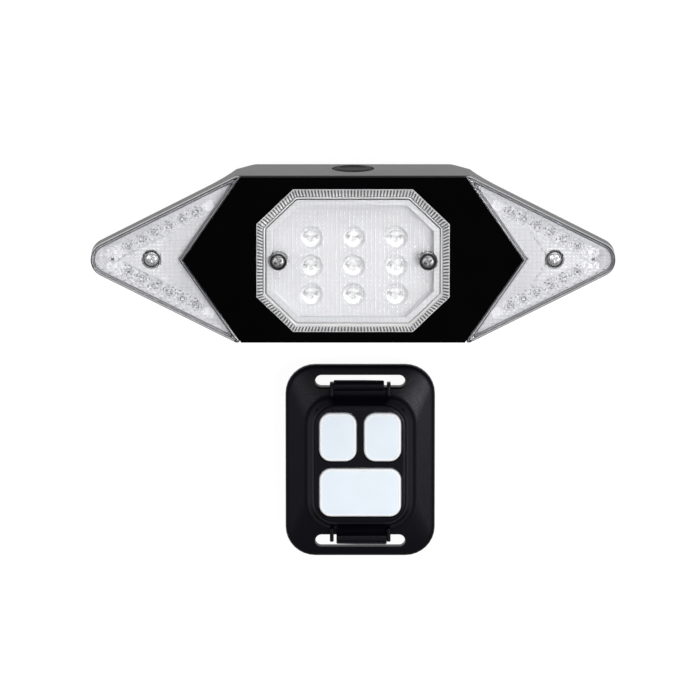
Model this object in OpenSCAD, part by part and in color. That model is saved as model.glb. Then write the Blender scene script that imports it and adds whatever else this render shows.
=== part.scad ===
// Bicycle turn signal light with its handlebar remote, in millimetres.
// Both lie on their backs on a table at z = 0, faces up.
// X runs along the lamp, Y points to the lamp's top edge and Z points up from the table.

/* [Lamp outline] */
// Width of the lamp from tip to tip
lamp_w = 150; // [138:1:170]
// Height of the front face
lamp_h = 48; // [45:1:56]
// Radius of each rounded tip
tip_r = 5; // [4:0.5:7]
// Straight top edge of the black faceplate
face_edge_w = 64; // [60:1:70]
// Flat of the outline beyond each corner of the faceplate
corner_land = 1.5; // [0.5:0.5:4]
// Reach of each chevron point past the corner of the faceplate
chevron_reach = 16.5; // [13:0.5:19]
// Gap between the faceplate and each arrow lens
seam = 0.5; // [0.3:0.1:1]

/* [Lamp housing] */
// Wall thickness of the rear housing
wall = 2; // [1.6:0.1:2.4]
// Depth of each arm where it leaves the middle
arm_depth = 9; // [8.5:0.5:12]
// Depth of each arm at its tip
tip_depth = 8; // [7.5:0.5:10]
// Width of the flat middle of the rear
rear_flat_w = 54; // [52:1:58]
// Width of each sloped shoulder beside that flat
shoulder_w = 9.5; // [7:0.5:10]
// Radius that rounds each shoulder where it leaves the flat
shoulder_r = 9; // [4:0.5:9.5]
// Radius of the hollow where each shoulder meets its arm
hollow_r = 10; // [6:0.5:11]
// Radius of the long rear edges
rear_r = 2.5; // [2:0.5:3.5]
// Width of the ledge that carries each arrow board
ledge_w = 1.2; // [0.8:0.1:1.8]
// Thickness of the partition under the edge of the faceplate
partition_t = 1.2; // [0.8:0.1:2]
// Thickness of the faceplate and of the arrow lenses
cover_t = 2.6; // [2.4:0.1:3.2]
// Thickness of the flat gasket under them
gasket_t = 0.6; // [0.4:0.1:1]

/* [Centre lens] */
// Black face left above and below the lens
lens_margin = 3.3; // [2.5:0.1:5]
// Width of the lens
lens_w = 55.2; // [53:0.1:58]
// Length cut from the top edge at each corner
lens_corner_x = 10.5; // [8:0.5:12]
// Length cut from the side edge at each corner
lens_corner_y = 10.1; // [8:0.5:12]
// Height of the lens above its gasket
lens_rise = 2.6; // [2:0.1:4]
// Width of the sloped edge of the lens
lens_bevel = 2.1; // [1:0.1:2.5]
// Width of the foot of the lens
lens_foot_w = 2.8; // [2.6:0.1:3.2]
// Thickness of the lens window
lens_window_t = 1.4; // [1:0.1:1.8]
// Thickness of the lens gasket
lens_gasket_t = 0.5; // [0.3:0.1:0.8]
// Distance of each lens screw from the middle
lens_screw_x = 21.4; // [20.9:0.1:21.6]
// Depth of each screw well below the top of the lens
lens_well = 1.9; // [1.7:0.1:2.4]

/* [Centre light unit] */
// Drop from the front face to the reflector
reflector_drop = 1.5; // [1.2:0.1:2]
// Thickness of the centre reflector
reflector_t = 1.5; // [1:0.1:2]
// Pitch of the centre LEDs across
led_pitch_x = 12.1; // [10:0.1:13]
// Pitch of the centre LEDs up and down
led_pitch_y = 8.3; // [7:0.1:10]
// Drop of the LED rows below the middle of the lens
led_drop = 2; // [0:0.1:2.5]
// Diameter of a centre LED
led_d = 5; // [4:0.5:5.5]
// Height of a centre LED
led_h = 4.2; // [3.6:0.1:4.4]
// Radius of the domed top of a centre LED
led_dome_r = 3.2; // [3:0.1:4]

/* [Arrow light units] */
// Thickness of the window of each arrow lens
arrow_window_t = 1; // [0.8:0.1:1.2]
// Place of each arrow screw, as a share of the way from the chevron point to the tip
arrow_screw_share = 0.345; // [0.3:0.005:0.4]
// Drop of the foot of each arrow screw boss below the housing rim
arrow_boss_drop = 0.9; // [0.7:0.1:1.2]
// Thickness of lens left under the head of each arrow screw
arrow_seat_t = 1; // [0.8:0.1:1.2]
// Thickness of the arrow boards
arrow_board_t = 1; // [0.8:0.1:1.4]
// Width of the lit strip along the sloped edges
strip_w = 4; // [3.4:0.1:4.6]
// Pitch of the LEDs in the strip
strip_pitch = 4.3; // [3.6:0.1:6]
// Length of a strip LED
strip_led_l = 2.8; // [2:0.1:3.4]
// Width of a strip LED
strip_led_w = 2.4; // [1.6:0.1:2.8]
// Height of a strip LED
strip_led_h = 1.3; // [1:0.1:1.6]
// Thickness of the arrow reflectors
arrow_reflector_t = 0.7; // [0.5:0.1:1]
// Height of the ridge beside the strip, above the reflector
ridge_h = 0.8; // [0.4:0.1:1]
// Thickness of that ridge
ridge_t = 0.9; // [0.6:0.1:1.4]

/* [Electronics] */
// Thickness of the main and centre boards
board_t = 1.6; // [1.2:0.1:2]
// Width of the main board
board_w = 34; // [32:1:34]
// Gap between the main board's edges and the housing wall
board_edge_gap = 2.3; // [1.5:0.1:3]
// Height of the standoffs under the main board
standoff_h = 2.4; // [2:0.1:3.5]
// Battery width
battery_w = 30; // [26:1:32]
// Battery length
battery_l = 20; // [16:1:20]
// Battery thickness
battery_t = 6; // [5:0.5:8]
// Corner radius of the battery
battery_r = 1.5; // [0.5:0.5:3]
// Thickness of the foam pad under the battery
battery_pad_t = 1; // [0.6:0.1:2]
// Free height between the battery and the centre board
stack_air = 7; // [4:0.1:8]
// Side of a main board chip
chip_side = 4; // [3:0.5:5]
// Height of a chip
chip_h = 1.2; // [0.8:0.1:1.6]
// Width of a ribbon lead
lead_w = 2; // [1.2:0.1:2.4]
// Thickness of a ribbon lead
lead_t = 1; // [0.6:0.1:1.2]

/* [Power button] */
// Diameter of the button cap
button_d = 11.6; // [9:0.1:12]
// How far the cap stands out of the top wall
button_proud = 0.3; // [0.2:0.1:1.5]
// Travel of the button
button_travel = 0.8; // [0.4:0.1:1]
// Width of the rim that holds the cap behind the wall
button_rim = 0.8; // [0.6:0.1:1]
// Thickness of that rim
button_rim_t = 1; // [0.6:0.1:1.4]
// Length of the post from the cap to the switch
button_post_l = 2.2; // [1.5:0.1:3]
// Diameter of the post
button_post_d = 4; // [3.4:0.1:5]
// Side of the power switch
switch_side = 7; // [6.5:0.1:8]
// Depth of the power switch
switch_depth = 4; // [3:0.1:5]
// Diameter of its plunger
switch_plunger_d = 3; // [2:0.1:3.4]

/* [Charging port] */
// Width of the charging socket
socket_w = 9; // [8:0.1:9.5]
// Depth of the charging socket
socket_l = 7.4; // [6:0.1:7.6]
// Height of the charging socket
socket_h = 3.2; // [2.8:0.1:3.6]
// Wall thickness of the socket shell
socket_wall = 0.4; // [0.3:0.05:0.6]
// How far the rubber plug pulls out
plug_travel = 4.5; // [3:0.1:5]
// Thickness of the plug's outer flap
plug_flap_t = 1.2; // [0.8:0.1:2]
// Border of the flap around the port
plug_border = 1.5; // [1:0.1:2]
// Length of the barb on the tether stem
plug_barb_l = 1.2; // [0.8:0.1:1.6]
// Diameter of the tether stem
tether_d = 1.8; // [1.4:0.1:2]
// Distance of the tether stem from the port's middle
tether_x = 8.5; // [8:0.1:9.5]

/* [Lamp mount] */
// Radius of the seat post that the saddle fits
post_r = 13.6; // [12.7:0.1:15.9]
// Arc of the post that the saddle pad wraps
groove_arc = 120; // [110:1:130]
// Least thickness of the saddle pad
saddle_pad_t = 2.2; // [1.5:0.1:4]
// Width of each foot of the saddle pad
saddle_lip = 3.2; // [2:0.1:3.5]
// Length of the saddle along the post
saddle_l = 30; // [26:1:31]
// Width of the saddle across the post
saddle_w = 54; // [52:1:58]
// Thickness of the saddle
saddle_t = 3; // [2.4:0.1:4]
// Corner radius of the saddle
saddle_corner_r = 5; // [3:0.5:7]
// Distance of each saddle screw from the post's middle plane
saddle_screw_x = 17.6; // [17.6:0.1:18]
// Distance of each saddle screw from the lamp's middle line
saddle_screw_y = 11; // [8:0.5:12]

/* [Strap slots] */
// Length of each strap slot
slot_l = 26; // [18:0.5:27]
// Width of each strap slot
slot_w = 3.5; // [2.5:0.1:4]
// Plate left outside each slot
slot_land = 2.9; // [2:0.1:4]

/* [Remote plate] */
// Width of the remote
remote_w = 43.3; // [42:0.1:50]
// Height of the remote
remote_h = 56.5; // [56:0.1:64]
// Corner radius of the remote
remote_corner_r = 8.6; // [6:0.1:10]
// Thickness of the remote's plate
plate_t = 4; // [3.6:0.1:5]
// Thickness of the rear cover
rear_cover_t = 1.6; // [1.4:0.1:2.5]
// Width of the rear cover
rear_cover_w = 38; // [37:0.5:40]
// Height of the rear cover
rear_cover_h = 40; // [38:0.5:42]
// Corner radius of the rear cover
rear_cover_r = 3.2; // [2:0.1:5]
// Radius of the handlebar that the remote fits
bar_r = 11.1; // [11:0.1:12.7]
// Least thickness of the handlebar pad
bar_pad_t = 1.95; // [1.5:0.05:3]
// Width of each foot of the handlebar pad
bar_lip = 3.2; // [2:0.1:5]
// Length of the pad along the handlebar
bar_pad_l = 30; // [24:1:36]

/* [Remote platform] */
// Rise of the raised platform above the plate
platform_rise = 4.4; // [4.2:0.1:6]
// Width of the platform's flat top
platform_w = 26.4; // [26:0.1:28]
// Height of the platform's flat top
platform_h = 34.4; // [34:0.1:36]
// Spread of its sloped sides
platform_slope = 3; // [2:0.1:4]
// Corner radius of its top
platform_corner_r = 6; // [4:0.5:7]
// Thickness of the platform's roof
roof_t = 1.5; // [1.2:0.1:2]
// Diameter of each strap hook bar
hook_d = 3.2; // [2.4:0.1:3.4]
// Length of each strap hook bar
hook_l = 15.4; // [12:0.1:18]
// Thickness of the ears that carry the hook bar
ear_t = 1.1; // [0.8:0.1:1.6]
// Open gap at the free end of the hook bar
hook_gap = 0.8; // [0.5:0.1:1.2]

/* [Keys] */
// Width of each upper key
key_w = 10.7; // [9:0.1:10.8]
// Height of the upper keys
key_h = 14.2; // [12:0.1:14.4]
// Height of the lower key
lower_key_h = 14.1; // [12:0.1:14.3]
// Bar of roof left between the keys
key_bar = 2.2; // [2:0.1:3]
// Corner radius of the keys
key_corner_r = 3.3; // [2:0.1:4]
// How far the keys stand out of the roof
key_proud = 0.6; // [0.6:0.1:1.2]
// Travel of the keys
key_travel = 0.5; // [0.3:0.05:0.6]
// Width of the flange that holds each key in
key_flange = 0.6; // [0.4:0.05:0.7]
// Thickness of that flange
key_flange_t = 0.8; // [0.6:0.1:0.9]
// Gap around each key
key_gap = 0.25; // [0.2:0.05:0.3]
// Side of a key switch
tact_side = 4.5; // [4:0.1:6]
// Height of a key switch
tact_h = 1.5; // [1.3:0.1:1.8]
// Diameter of a key switch plunger
tact_plunger_d = 2; // [1.4:0.1:2.4]

/* [Remote inside] */
// Diameter of the coin cell
cell_d = 20; // [16:0.1:20.5]
// Thickness of the coin cell
cell_t = 3.2; // [2.5:0.1:3.4]
// Wall of the ring around the coin cell
cell_ring_t = 1; // [0.8:0.1:1.2]
// Height of that ring
cell_ring_h = 2.2; // [1.6:0.1:2.4]
// Width of the cell contacts
contact_w = 2.4; // [1.6:0.1:4]
// Thickness of the cell contacts
contact_t = 0.4; // [0.3:0.05:0.6]
// Thickness of the remote's board
remote_board_t = 1; // [0.8:0.1:1.2]
// Diameter of the posts under the remote's board
board_post_d = 2; // [1.6:0.1:2.4]
// Gap between the remote's board and its walls
remote_board_gap = 0.35; // [0.2:0.05:0.6]
// Width of the rubber seal
seal_w = 1; // [0.8:0.1:1.2]
// Height of the rubber seal
seal_h = 0.8; // [0.5:0.1:1]
// Wall between the seal and the inside
seal_wall = 0.8; // [0.6:0.1:1]

/* [Screws] */
// Diameter of the lamp's screws
screw_d = 2.5; // [2:0.1:2.6]
// Head diameter of the lamp's screws
screw_head_d = 4.2; // [3.6:0.1:4.3]
// Head height of the lamp's screws
screw_head_h = 1.5; // [1:0.1:1.6]
// Length of the cross recess, as a share of the head's diameter
recess_l = 0.6; // [0.5:0.05:0.7]
// Width of the cross recess, as a share of the head's diameter
recess_w = 0.16; // [0.12:0.01:0.22]
// Depth to which the screws bite in their bosses
screw_bite = 6; // [4:0.5:8]
// Diameter of the remote's screws
small_screw_d = 1.7; // [1.4:0.1:2]
// Head diameter of the remote's screws
small_head_d = 3.2; // [2.6:0.1:3.4]
// Head height of the remote's and the board's screws
small_head_h = 0.9; // [0.6:0.1:1.1]
// Depth to which the small screws bite
small_bite = 2; // [1.4:0.1:2.2]
// Wall of plastic around the screw bosses
boss_wall = 0.5; // [0.4:0.05:0.6]

/* [Fits and layout] */
// Gap around pieces that drop into a pocket
fit = 0.2; // [0.1:0.05:0.3]
// Gap around pieces that slide in the housing wall
slide_gap = 0.3; // [0.2:0.05:0.4]
// Play around a screw or a switch plunger
play = 0.05; // [0.03:0.01:0.08]
// Free space between the lamp's bottom edge and the remote's top edge
set_gap = 11.4; // [8:0.1:30]
// Sideways shift of the remote from the lamp's middle
remote_shift = 2.1; // [0:0.1:6]

/* [Hidden] */
$fn = 48;
// Overlap that keeps a cut or a joint from ending on a shared face
cut = 1;
weld = 0.2;
// Points on each rounded tip
tip_steps = 12;
// Flat faces along each rounded shoulder and hollow
shoulder_steps = 8;

// Heights of the lamp, built up from the table
groove_half = groove_arc / 2;
saddle_pad_h = saddle_pad_t + post_r * (1 - cos(groove_half));
rear_z = saddle_pad_h + saddle_t;
floor_z = rear_z + wall;
board_z0 = floor_z + standoff_h;
board_z1 = board_z0 + board_t;
battery_z0 = board_z1 + battery_pad_t;
led_board_z0 = battery_z0 + battery_t + stack_air;
led_board_z1 = led_board_z0 + board_t;
reflector_z1 = led_board_z1 + reflector_t;
face_z = reflector_z1 + reflector_drop;
cover_z = face_z - cover_t;
rim_z = cover_z - gasket_t;
lens_z0 = face_z + lens_gasket_t;
lens_z1 = lens_z0 + lens_rise;
button_z = board_z1 + switch_side / 2;
socket_z = board_z1 + socket_h / 2;

// Outline of the lamp
corner_x = face_edge_w / 2 + corner_land;
tip_x = lamp_w / 2 - tip_r;
tip_dist = norm([tip_x - corner_x, lamp_h / 2]);
edge_normal = atan2(lamp_h / 2, corner_x - tip_x) - acos(tip_r / tip_dist);
edge_drop = 90 - edge_normal;
apex_x = tip_x + tip_r / sin(edge_drop);
chevron_k = norm([chevron_reach, lamp_h / 2]) / (lamp_h / 2);
lens_h = lamp_h - 2 * lens_margin;
shoulder_x = rear_flat_w / 2 + shoulder_w;
inner_y = lamp_h / 2 - wall;
chevron_point = face_edge_w / 2 + chevron_reach;
arrow_screw_x = chevron_point + arrow_screw_share * (lamp_w / 2 - chevron_point);

// Screw bosses of the lamp
boss_d = screw_head_d + 2 * (slide_gap + boss_wall);
pilot_d = screw_d + 2 * play;
hole_d = screw_d + 2 * fit;
well_d = screw_head_d + 2 * fit;
house_screw_x = lens_screw_x;
house_screw_y = inner_y - boss_d / 2 - rear_r / 2;
house_boss_h = standoff_h + board_t;
saddle_boss_h = standoff_h - 2 * fit;
saddle_screw_tip = floor_z + saddle_boss_h - 2 * fit;

// Power button and its switch, along Y
cap_in = inner_y - fit - button_rim_t;
post_end = cap_in - button_post_l;
switch_front = post_end - button_travel - 2 * fit;
switch_back = switch_front - switch_depth;
plunger_in = button_travel + 2 * fit;

// Battery and its leads
battery_y1 = switch_back - 2 * lead_t;
lead_y = battery_y1 + lead_t;
lead_x = switch_side / 2 + lead_w;

// Strap slots and mounts
bar_pad_h = bar_pad_t + bar_r * (1 - cos(groove_half));
slot_out = slot_land + slot_w / 2;

// Heights of the remote
plate_z0 = bar_pad_h + rear_cover_t;
plate_z1 = plate_z0 + plate_t;
roof_z1 = plate_z1 + platform_rise;
roof_z0 = roof_z1 - roof_t;
remote_board_z0 = plate_z0 + cell_t + contact_t;
remote_board_z1 = remote_board_z0 + remote_board_t;
tact_z1 = remote_board_z1 + tact_h;
flange_z1 = roof_z0 - fit;
flange_z0 = flange_z1 - key_flange_t;
key_z1 = roof_z1 + key_proud;
key_ceiling_z = tact_z1 + key_travel + 2 * fit;

// Keys, centred together on the remote
keys_h = key_h + key_bar + lower_key_h;
upper_key_x = (key_w + key_bar) / 2;
upper_key_y = keys_h / 2 - key_h / 2;
lower_key_w = 2 * key_w + key_bar;
lower_key_y = lower_key_h / 2 - keys_h / 2;
inside_w = lower_key_w + 2 * key_flange + 2 * fit;
inside_h = keys_h + 2 * key_flange + 2 * fit;
board_inside_w = inside_w - 2 * remote_board_gap;
board_inside_h = inside_h - 2 * remote_board_gap;
remote_screw_x = rear_cover_w / 2 - small_head_d / 2 - boss_wall;
remote_screw_y = rear_cover_h / 2 - small_head_d / 2 - boss_wall;

// Layout of the pair, centred on the origin
set_top = lamp_h / 2 + button_proud;
set_bottom = -lamp_h / 2 - set_gap - remote_h;
lamp_y = -(set_top + set_bottom) / 2;
remote_y = lamp_y - lamp_h / 2 - set_gap - remote_h / 2;

// Moves every edge of a counter-clockwise outline inwards by d
function unit(v) = v / norm(v);
function left_of(v) = [-v[1], v[0]];
function inset(pts, d) = [
    for (i = [0 : len(pts) - 1])
        let (n = len(pts))
        let (before = left_of(unit(pts[i] - pts[(i + n - 1) % n])))
        let (after = left_of(unit(pts[(i + 1) % n] - pts[i])))
        pts[i] + d * (before + after) / (1 + before * after)
];

// Right half of the outline from the lower corner to the upper one, d inside the true edge
function tip_arc(r) = [
    for (i = [0 : tip_steps])
        let (a = edge_normal * (2 * i / tip_steps - 1))
        [tip_x + r * cos(a), r * sin(a)]
];
function half_outline(d) = concat(
    [[corner_x - d * tan(edge_drop / 2), d - lamp_h / 2]],
    d < tip_r ? tip_arc(tip_r - d) : [[apex_x - d / sin(edge_drop), 0]],
    [[corner_x - d * tan(edge_drop / 2), lamp_h / 2 - d]]
);
function outline(d) = concat(half_outline(d), [for (p = half_outline(d)) -p]);
function chevron_x(y, d) =
    face_edge_w / 2 + chevron_reach * (1 - abs(y) / (lamp_h / 2)) + d * chevron_k;
function octagon(w, h, cx, cy) = [
    [w / 2, cy - h / 2], [w / 2, h / 2 - cy], [w / 2 - cx, h / 2], [cx - w / 2, h / 2],
    [-w / 2, h / 2 - cy], [-w / 2, cy - h / 2], [cx - w / 2, -h / 2], [w / 2 - cx, -h / 2]
];
lens_outline = octagon(lens_w, lens_h, lens_corner_x, lens_corner_y);

// Depth of the rear surface behind the face, along an arm
function depth_at(x) =
    arm_depth + (tip_depth - arm_depth) * (x - shoulder_x) / (lamp_w / 2 - shoulder_x);

// Arc of radius r in place of the corner b on the way from a to c
function corner_arc(a, b, c, r) =
    let (u = unit(a - b), v = unit(c - b))
    let (half = acos(u * v) / 2)
    let (middle = b + unit(u + v) * r / sin(half))
    let (from = b + u * r / tan(half) - middle, to = b + v * r / tan(half) - middle)
    let (start = atan2(from[1], from[0]))
    let (turn = (atan2(to[1], to[0]) - start + 540) % 360 - 180)
    [for (i = [0 : shoulder_steps])
        let (t = start + turn * i / shoulder_steps)
        middle + r * [cos(t), sin(t)]];

// Rear edge of the lamp seen from above, from the middle flat to one tip
function rear_edge() =
    let (flat_end = [rear_flat_w / 2, rear_z], arm_start = [shoulder_x, face_z - arm_depth])
    let (tip = [lamp_w / 2, face_z - tip_depth])
    concat(corner_arc([0, rear_z], flat_end, arm_start, shoulder_r),
           corner_arc(flat_end, arm_start, tip, hollow_r), [tip, [lamp_w / 2, face_z + lamp_h]]);
function rear_profile() =
    let (edge = rear_edge())
    concat(edge, [for (i = [len(edge) - 1 : -1 : 0]) [-edge[i][0], edge[i][1]]]);

// Shared shapes
module at_lamp() {
    translate([0, lamp_y, 0]) children();
}

module at_remote() {
    translate([remote_shift, remote_y, 0]) children();
}

module side(s) {
    mirror([s < 0 ? 1 : 0, 0, 0]) children();
}

module slab(z0, z1) {
    translate([0, 0, z0]) linear_extrude(z1 - z0) children();
}

module rod(x, y, z0, z1, d) {
    translate([x, y, z0]) cylinder(h = z1 - z0, d = d);
}

module rod_y(x, z, y0, y1, d) {
    translate([x, y0, z]) rotate([-90, 0, 0]) cylinder(h = y1 - y0, d = d);
}

module box(lo, hi) {
    translate(lo) cube(hi - lo);
}

module rounded(w, h, r) {
    square([w - 2 * r, h], center = true);
    square([w, h - 2 * r], center = true);
    for (x = [r - w / 2, w / 2 - r], y = [r - h / 2, h / 2 - r]) translate([x, y]) circle(r);
}

module pill(l, w) {
    square([l - w, w], center = true);
    for (s = [-1, 1]) translate([s * (l - w) / 2, 0]) circle(w / 2);
}

module corners(x, y) {
    for (sx = [-1, 1], sy = [-1, 1]) translate([sx * x, sy * y, 0]) children();
}

module screw_up(seat_z, tip_z, d, head_d, head_h) {
    rod(0, 0, seat_z - head_h / 4, tip_z, d);
    rod(0, 0, seat_z - head_h, seat_z, head_d);
}

module screw_down(seat_z, tip_z, d, head_d, head_h) {
    rod(0, 0, tip_z, seat_z + head_h / 4, d);
    difference() {
        rod(0, 0, seat_z, seat_z + head_h, head_d);
        for (a = [0, 90]) rotate(a) translate([0, 0, seat_z + head_h])
            cube([head_d * recess_l, head_d * recess_w, head_h], center = true);
    }
}

// Plan of the black faceplate, d outside its sloped edges
module chevron(d) {
    near = chevron_x(0, d);
    far = chevron_x(lamp_h, d);
    polygon([
        [near, 0], [far, lamp_h], [-far, lamp_h], [-near, 0], [-far, -lamp_h], [far, -lamp_h]
    ]);
}

// Plan of the right arrow, d inside its edges
module arrow(d) {
    difference() {
        polygon(outline(d));
        chevron(seam + d);
        translate([-lamp_w, -lamp_h]) square([lamp_w, 2 * lamp_h]);
    }
}

// The lamp's body, d inside its outer surfaces
module lamp_body(d, top_z) {
    r = max(rear_r - d, rear_r / 4);
    intersection() {
        slab(rear_z + d, top_z) polygon(outline(d));
        rotate([90, 0, 0]) linear_extrude(lamp_h + 2 * cut, center = true)
            polygon(inset(rear_profile(), d));
        rotate([90, 0, 90]) linear_extrude(lamp_w + 2 * cut, center = true)
            translate([0, rear_z + d]) {
                translate([r - inner_y - wall + d, 0]) square([lamp_h - 2 * d - 2 * r, lamp_h]);
                translate([d - lamp_h / 2, r]) square([lamp_h - 2 * d, lamp_h]);
                for (s = [-1, 1]) translate([s * (lamp_h / 2 - d - r), r]) circle(r);
            }
    }
}

// Room in the wall for the power button, the charging port and the plug's tether
module wall_openings() {
    rod_y(0, button_z, inner_y - cut, lamp_h / 2 + cut, button_d + 2 * slide_gap);
    translate([0, -lamp_h / 2 - cut, socket_z]) rotate([-90, 0, 0]) linear_extrude(wall + 2 * cut)
        pill(socket_w + 2 * fit, socket_h + 2 * fit);
    rod_y(tether_x, socket_z, -lamp_h / 2 - cut, cut - inner_y, tether_d + 2 * slide_gap);
}

// Ribbon from the main board out to an arrow board, on the right
arm_lead_x0 = board_w / 2 - lead_t;
arm_lead_x1 = lens_w / 2 + lead_t;
arm_lead_x2 = chevron_x(lead_y, seam + wall + ledge_w) + lead_w;
arm_lead_z1 = battery_z0 + lead_w;
arm_lead_z2 = face_z - depth_at(arm_lead_x2) + wall + 2 * lead_t;
module arm_ribbon(w, t) {
    y0 = lead_y - w / 2;
    y1 = lead_y + w / 2;
    h = t / 2;
    box([arm_lead_x0 - h, y0, board_z1], [arm_lead_x0 + h, y1, arm_lead_z1 + h]);
    box([arm_lead_x0 - h, y0, arm_lead_z1 - h], [arm_lead_x1 + h, y1, arm_lead_z1 + h]);
    box([arm_lead_x1 - h, y0, arm_lead_z1 - h], [arm_lead_x1 + h, y1, arm_lead_z2 + h]);
    box([arm_lead_x1 - h, y0, arm_lead_z2 - h], [arm_lead_x2 + h, y1, arm_lead_z2 + h]);
    box([arm_lead_x2 - h, y0, arm_lead_z2 - h], [arm_lead_x2 + h, y1, rim_z - arrow_board_t]);
}

// Lamp housing and covers
module rear_housing() {
    arm_boss_z = rim_z - arrow_boss_drop;
    color("dimgray") difference() {
        union() {
            difference() {
                lamp_body(0, rim_z);
                intersection() {
                    lamp_body(wall, rim_z + cut);
                    slab(rear_z, rim_z + cut) chevron(-partition_t);
                }
                for (s = [-1, 1]) side(s) {
                    intersection() {
                        lamp_body(wall, rim_z + cut);
                        slab(rear_z, rim_z + cut) arrow(wall + ledge_w);
                    }
                    slab(rim_z - arrow_board_t, rim_z + cut) arrow(wall);
                }
            }
            for (s = [-1, 1]) {
                rod(s * lens_screw_x, 0, floor_z - weld, led_board_z0, boss_d);
                intersection() {
                    lamp_body(weld, rim_z);
                    rod(s * arrow_screw_x, 0, rear_z, arm_boss_z, boss_d);
                }
            }
            corners(house_screw_x, house_screw_y) rod(0, 0, floor_z - weld, floor_z + house_boss_h, boss_d);
            corners(saddle_screw_x, saddle_screw_y)
                rod(0, 0, floor_z - weld, floor_z + saddle_boss_h, boss_d);
            corners(standoff_x(), standoff_y()) rod(0, 0, floor_z - weld, board_z0, standoff_d());
        }
        for (s = [-1, 1]) {
            rod(s * lens_screw_x, 0, led_board_z0 - screw_bite - fit, led_board_z0 + cut, pilot_d);
            rod(s * arrow_screw_x, 0, arrow_screw_tip() - fit, arm_boss_z + cut, pilot_d);
        }
        corners(house_screw_x, house_screw_y) {
            rod(0, 0, rear_z - cut, floor_z + house_boss_h + cut, hole_d);
            rod(0, 0, rear_z - cut, floor_z, well_d);
        }
        corners(saddle_screw_x, saddle_screw_y) rod(0, 0, rear_z - cut, saddle_screw_tip + fit, pilot_d);
        corners(standoff_x(), standoff_y())
            rod(0, 0, board_z0 - small_bite, board_z0 + cut, small_screw_d + 2 * play);
        wall_openings();
        for (s = [-1, 1]) side(s) intersection() {
            arm_ribbon(lead_w + 2 * slide_gap, lead_t + 2 * slide_gap);
            box([arm_lead_x1 + lead_t, -lamp_h, rear_z],
                [arm_lead_x2 + lead_t, lamp_h, rim_z - arrow_board_t]);
        }
    }
}

function standoff_d() = small_screw_d + 4 * boss_wall;
function standoff_x() = board_w / 2 - standoff_d() / 2;
function standoff_y() = inner_y - board_edge_gap - standoff_d() / 2;
function arrow_screw_tip() = face_z - depth_at(arrow_screw_x) + wall;

module front_bezel() {
    post_z = floor_z + house_boss_h;
    color("black") difference() {
        union() {
            slab(cover_z, face_z) intersection() {
                polygon(outline(0));
                chevron(0);
            }
            corners(house_screw_x, house_screw_y) rod(0, 0, post_z, cover_z + weld, boss_d);
        }
        slab(cover_z - cut, face_z + cut) polygon(inset(lens_outline, lens_foot_w));
        corners(house_screw_x, house_screw_y) rod(0, 0, post_z - cut, post_z + screw_bite + fit, pilot_d);
    }
}

module housing_gasket() {
    color("#1c1c1e") slab(rim_z, cover_z) difference() {
        polygon(outline(fit));
        intersection() {
            polygon(outline(wall - fit));
            chevron(fit - partition_t);
        }
        for (s = [-1, 1]) mirror([s < 0 ? 1 : 0, 0]) arrow(wall - fit);
    }
}

// Clear centre lens, its gasket and the light unit behind it
module center_lens() {
    seat_z = lens_z1 - lens_well;
    window_z = lens_z1 - lens_window_t;
    color("whitesmoke", 0.6) difference() {
        union() {
            difference() {
                hull() {
                    slab(lens_z0, lens_z0 + weld) polygon(lens_outline);
                    slab(lens_z1 - weld, lens_z1) polygon(inset(lens_outline, lens_bevel));
                }
                slab(lens_z0 - cut, window_z) polygon(inset(lens_outline, lens_foot_w));
            }
            for (s = [-1, 1]) rod(s * lens_screw_x, 0, reflector_z1, window_z + weld, boss_d);
        }
        for (s = [-1, 1]) {
            rod(s * lens_screw_x, 0, reflector_z1 - cut, lens_z1 + cut, hole_d);
            rod(s * lens_screw_x, 0, seat_z, lens_z1 + cut, well_d);
        }
    }
}

module center_lens_gasket() {
    color("#1c1c1e") slab(face_z, lens_z0) difference() {
        polygon(inset(lens_outline, fit));
        polygon(inset(lens_outline, lens_foot_w - fit));
    }
}

module led_grid() {
    for (i = [-1, 0, 1], j = [-1, 0, 1])
        translate([i * led_pitch_x, j * led_pitch_y - led_drop, 0]) children();
}

module center_reflector() {
    color("gainsboro") difference() {
        slab(led_board_z1, reflector_z1) polygon(inset(lens_outline, lens_foot_w + fit));
        led_grid() rod(0, 0, led_board_z1 - cut, reflector_z1 + cut, led_d + 2 * fit);
        for (s = [-1, 1]) rod(s * lens_screw_x, 0, led_board_z1 - cut, reflector_z1 + cut, hole_d);
    }
}

module center_led_board() {
    color("white") difference() {
        slab(led_board_z0, led_board_z1) polygon(inset(lens_outline, lens_foot_w + fit));
        for (s = [-1, 1]) rod(s * lens_screw_x, 0, led_board_z0 - cut, led_board_z1 + cut, hole_d);
    }
}

module center_leds() {
    color("aliceblue") led_grid() intersection() {
        rod(0, 0, led_board_z1, led_board_z1 + led_h, led_d);
        translate([0, 0, led_board_z1 + led_h - led_dome_r]) sphere(led_dome_r);
    }
}

module center_lens_screws() {
    color("gray") for (s = [-1, 1]) translate([s * lens_screw_x, 0, 0])
        screw_down(lens_z1 - lens_well, led_board_z0 - screw_bite, screw_d, screw_head_d, screw_head_h);
}

// Arrow lenses and their light units, right side, mirrored for the left
module arrow_lens(s) {
    foot_z = rim_z - arrow_boss_drop;
    window_z = face_z - arrow_window_t;
    color("whitesmoke", 0.6) side(s) difference() {
        union() {
            difference() {
                slab(cover_z, face_z) arrow(0);
                slab(cover_z - cut, window_z) arrow(wall);
            }
            rod(arrow_screw_x, 0, foot_z, window_z + weld, boss_d);
        }
        rod(arrow_screw_x, 0, foot_z - cut, face_z + cut, hole_d);
        rod(arrow_screw_x, 0, arrow_seat_z(), face_z + cut, well_d);
    }
}

function arrow_seat_z() = rim_z - arrow_boss_drop + arrow_seat_t;

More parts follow.
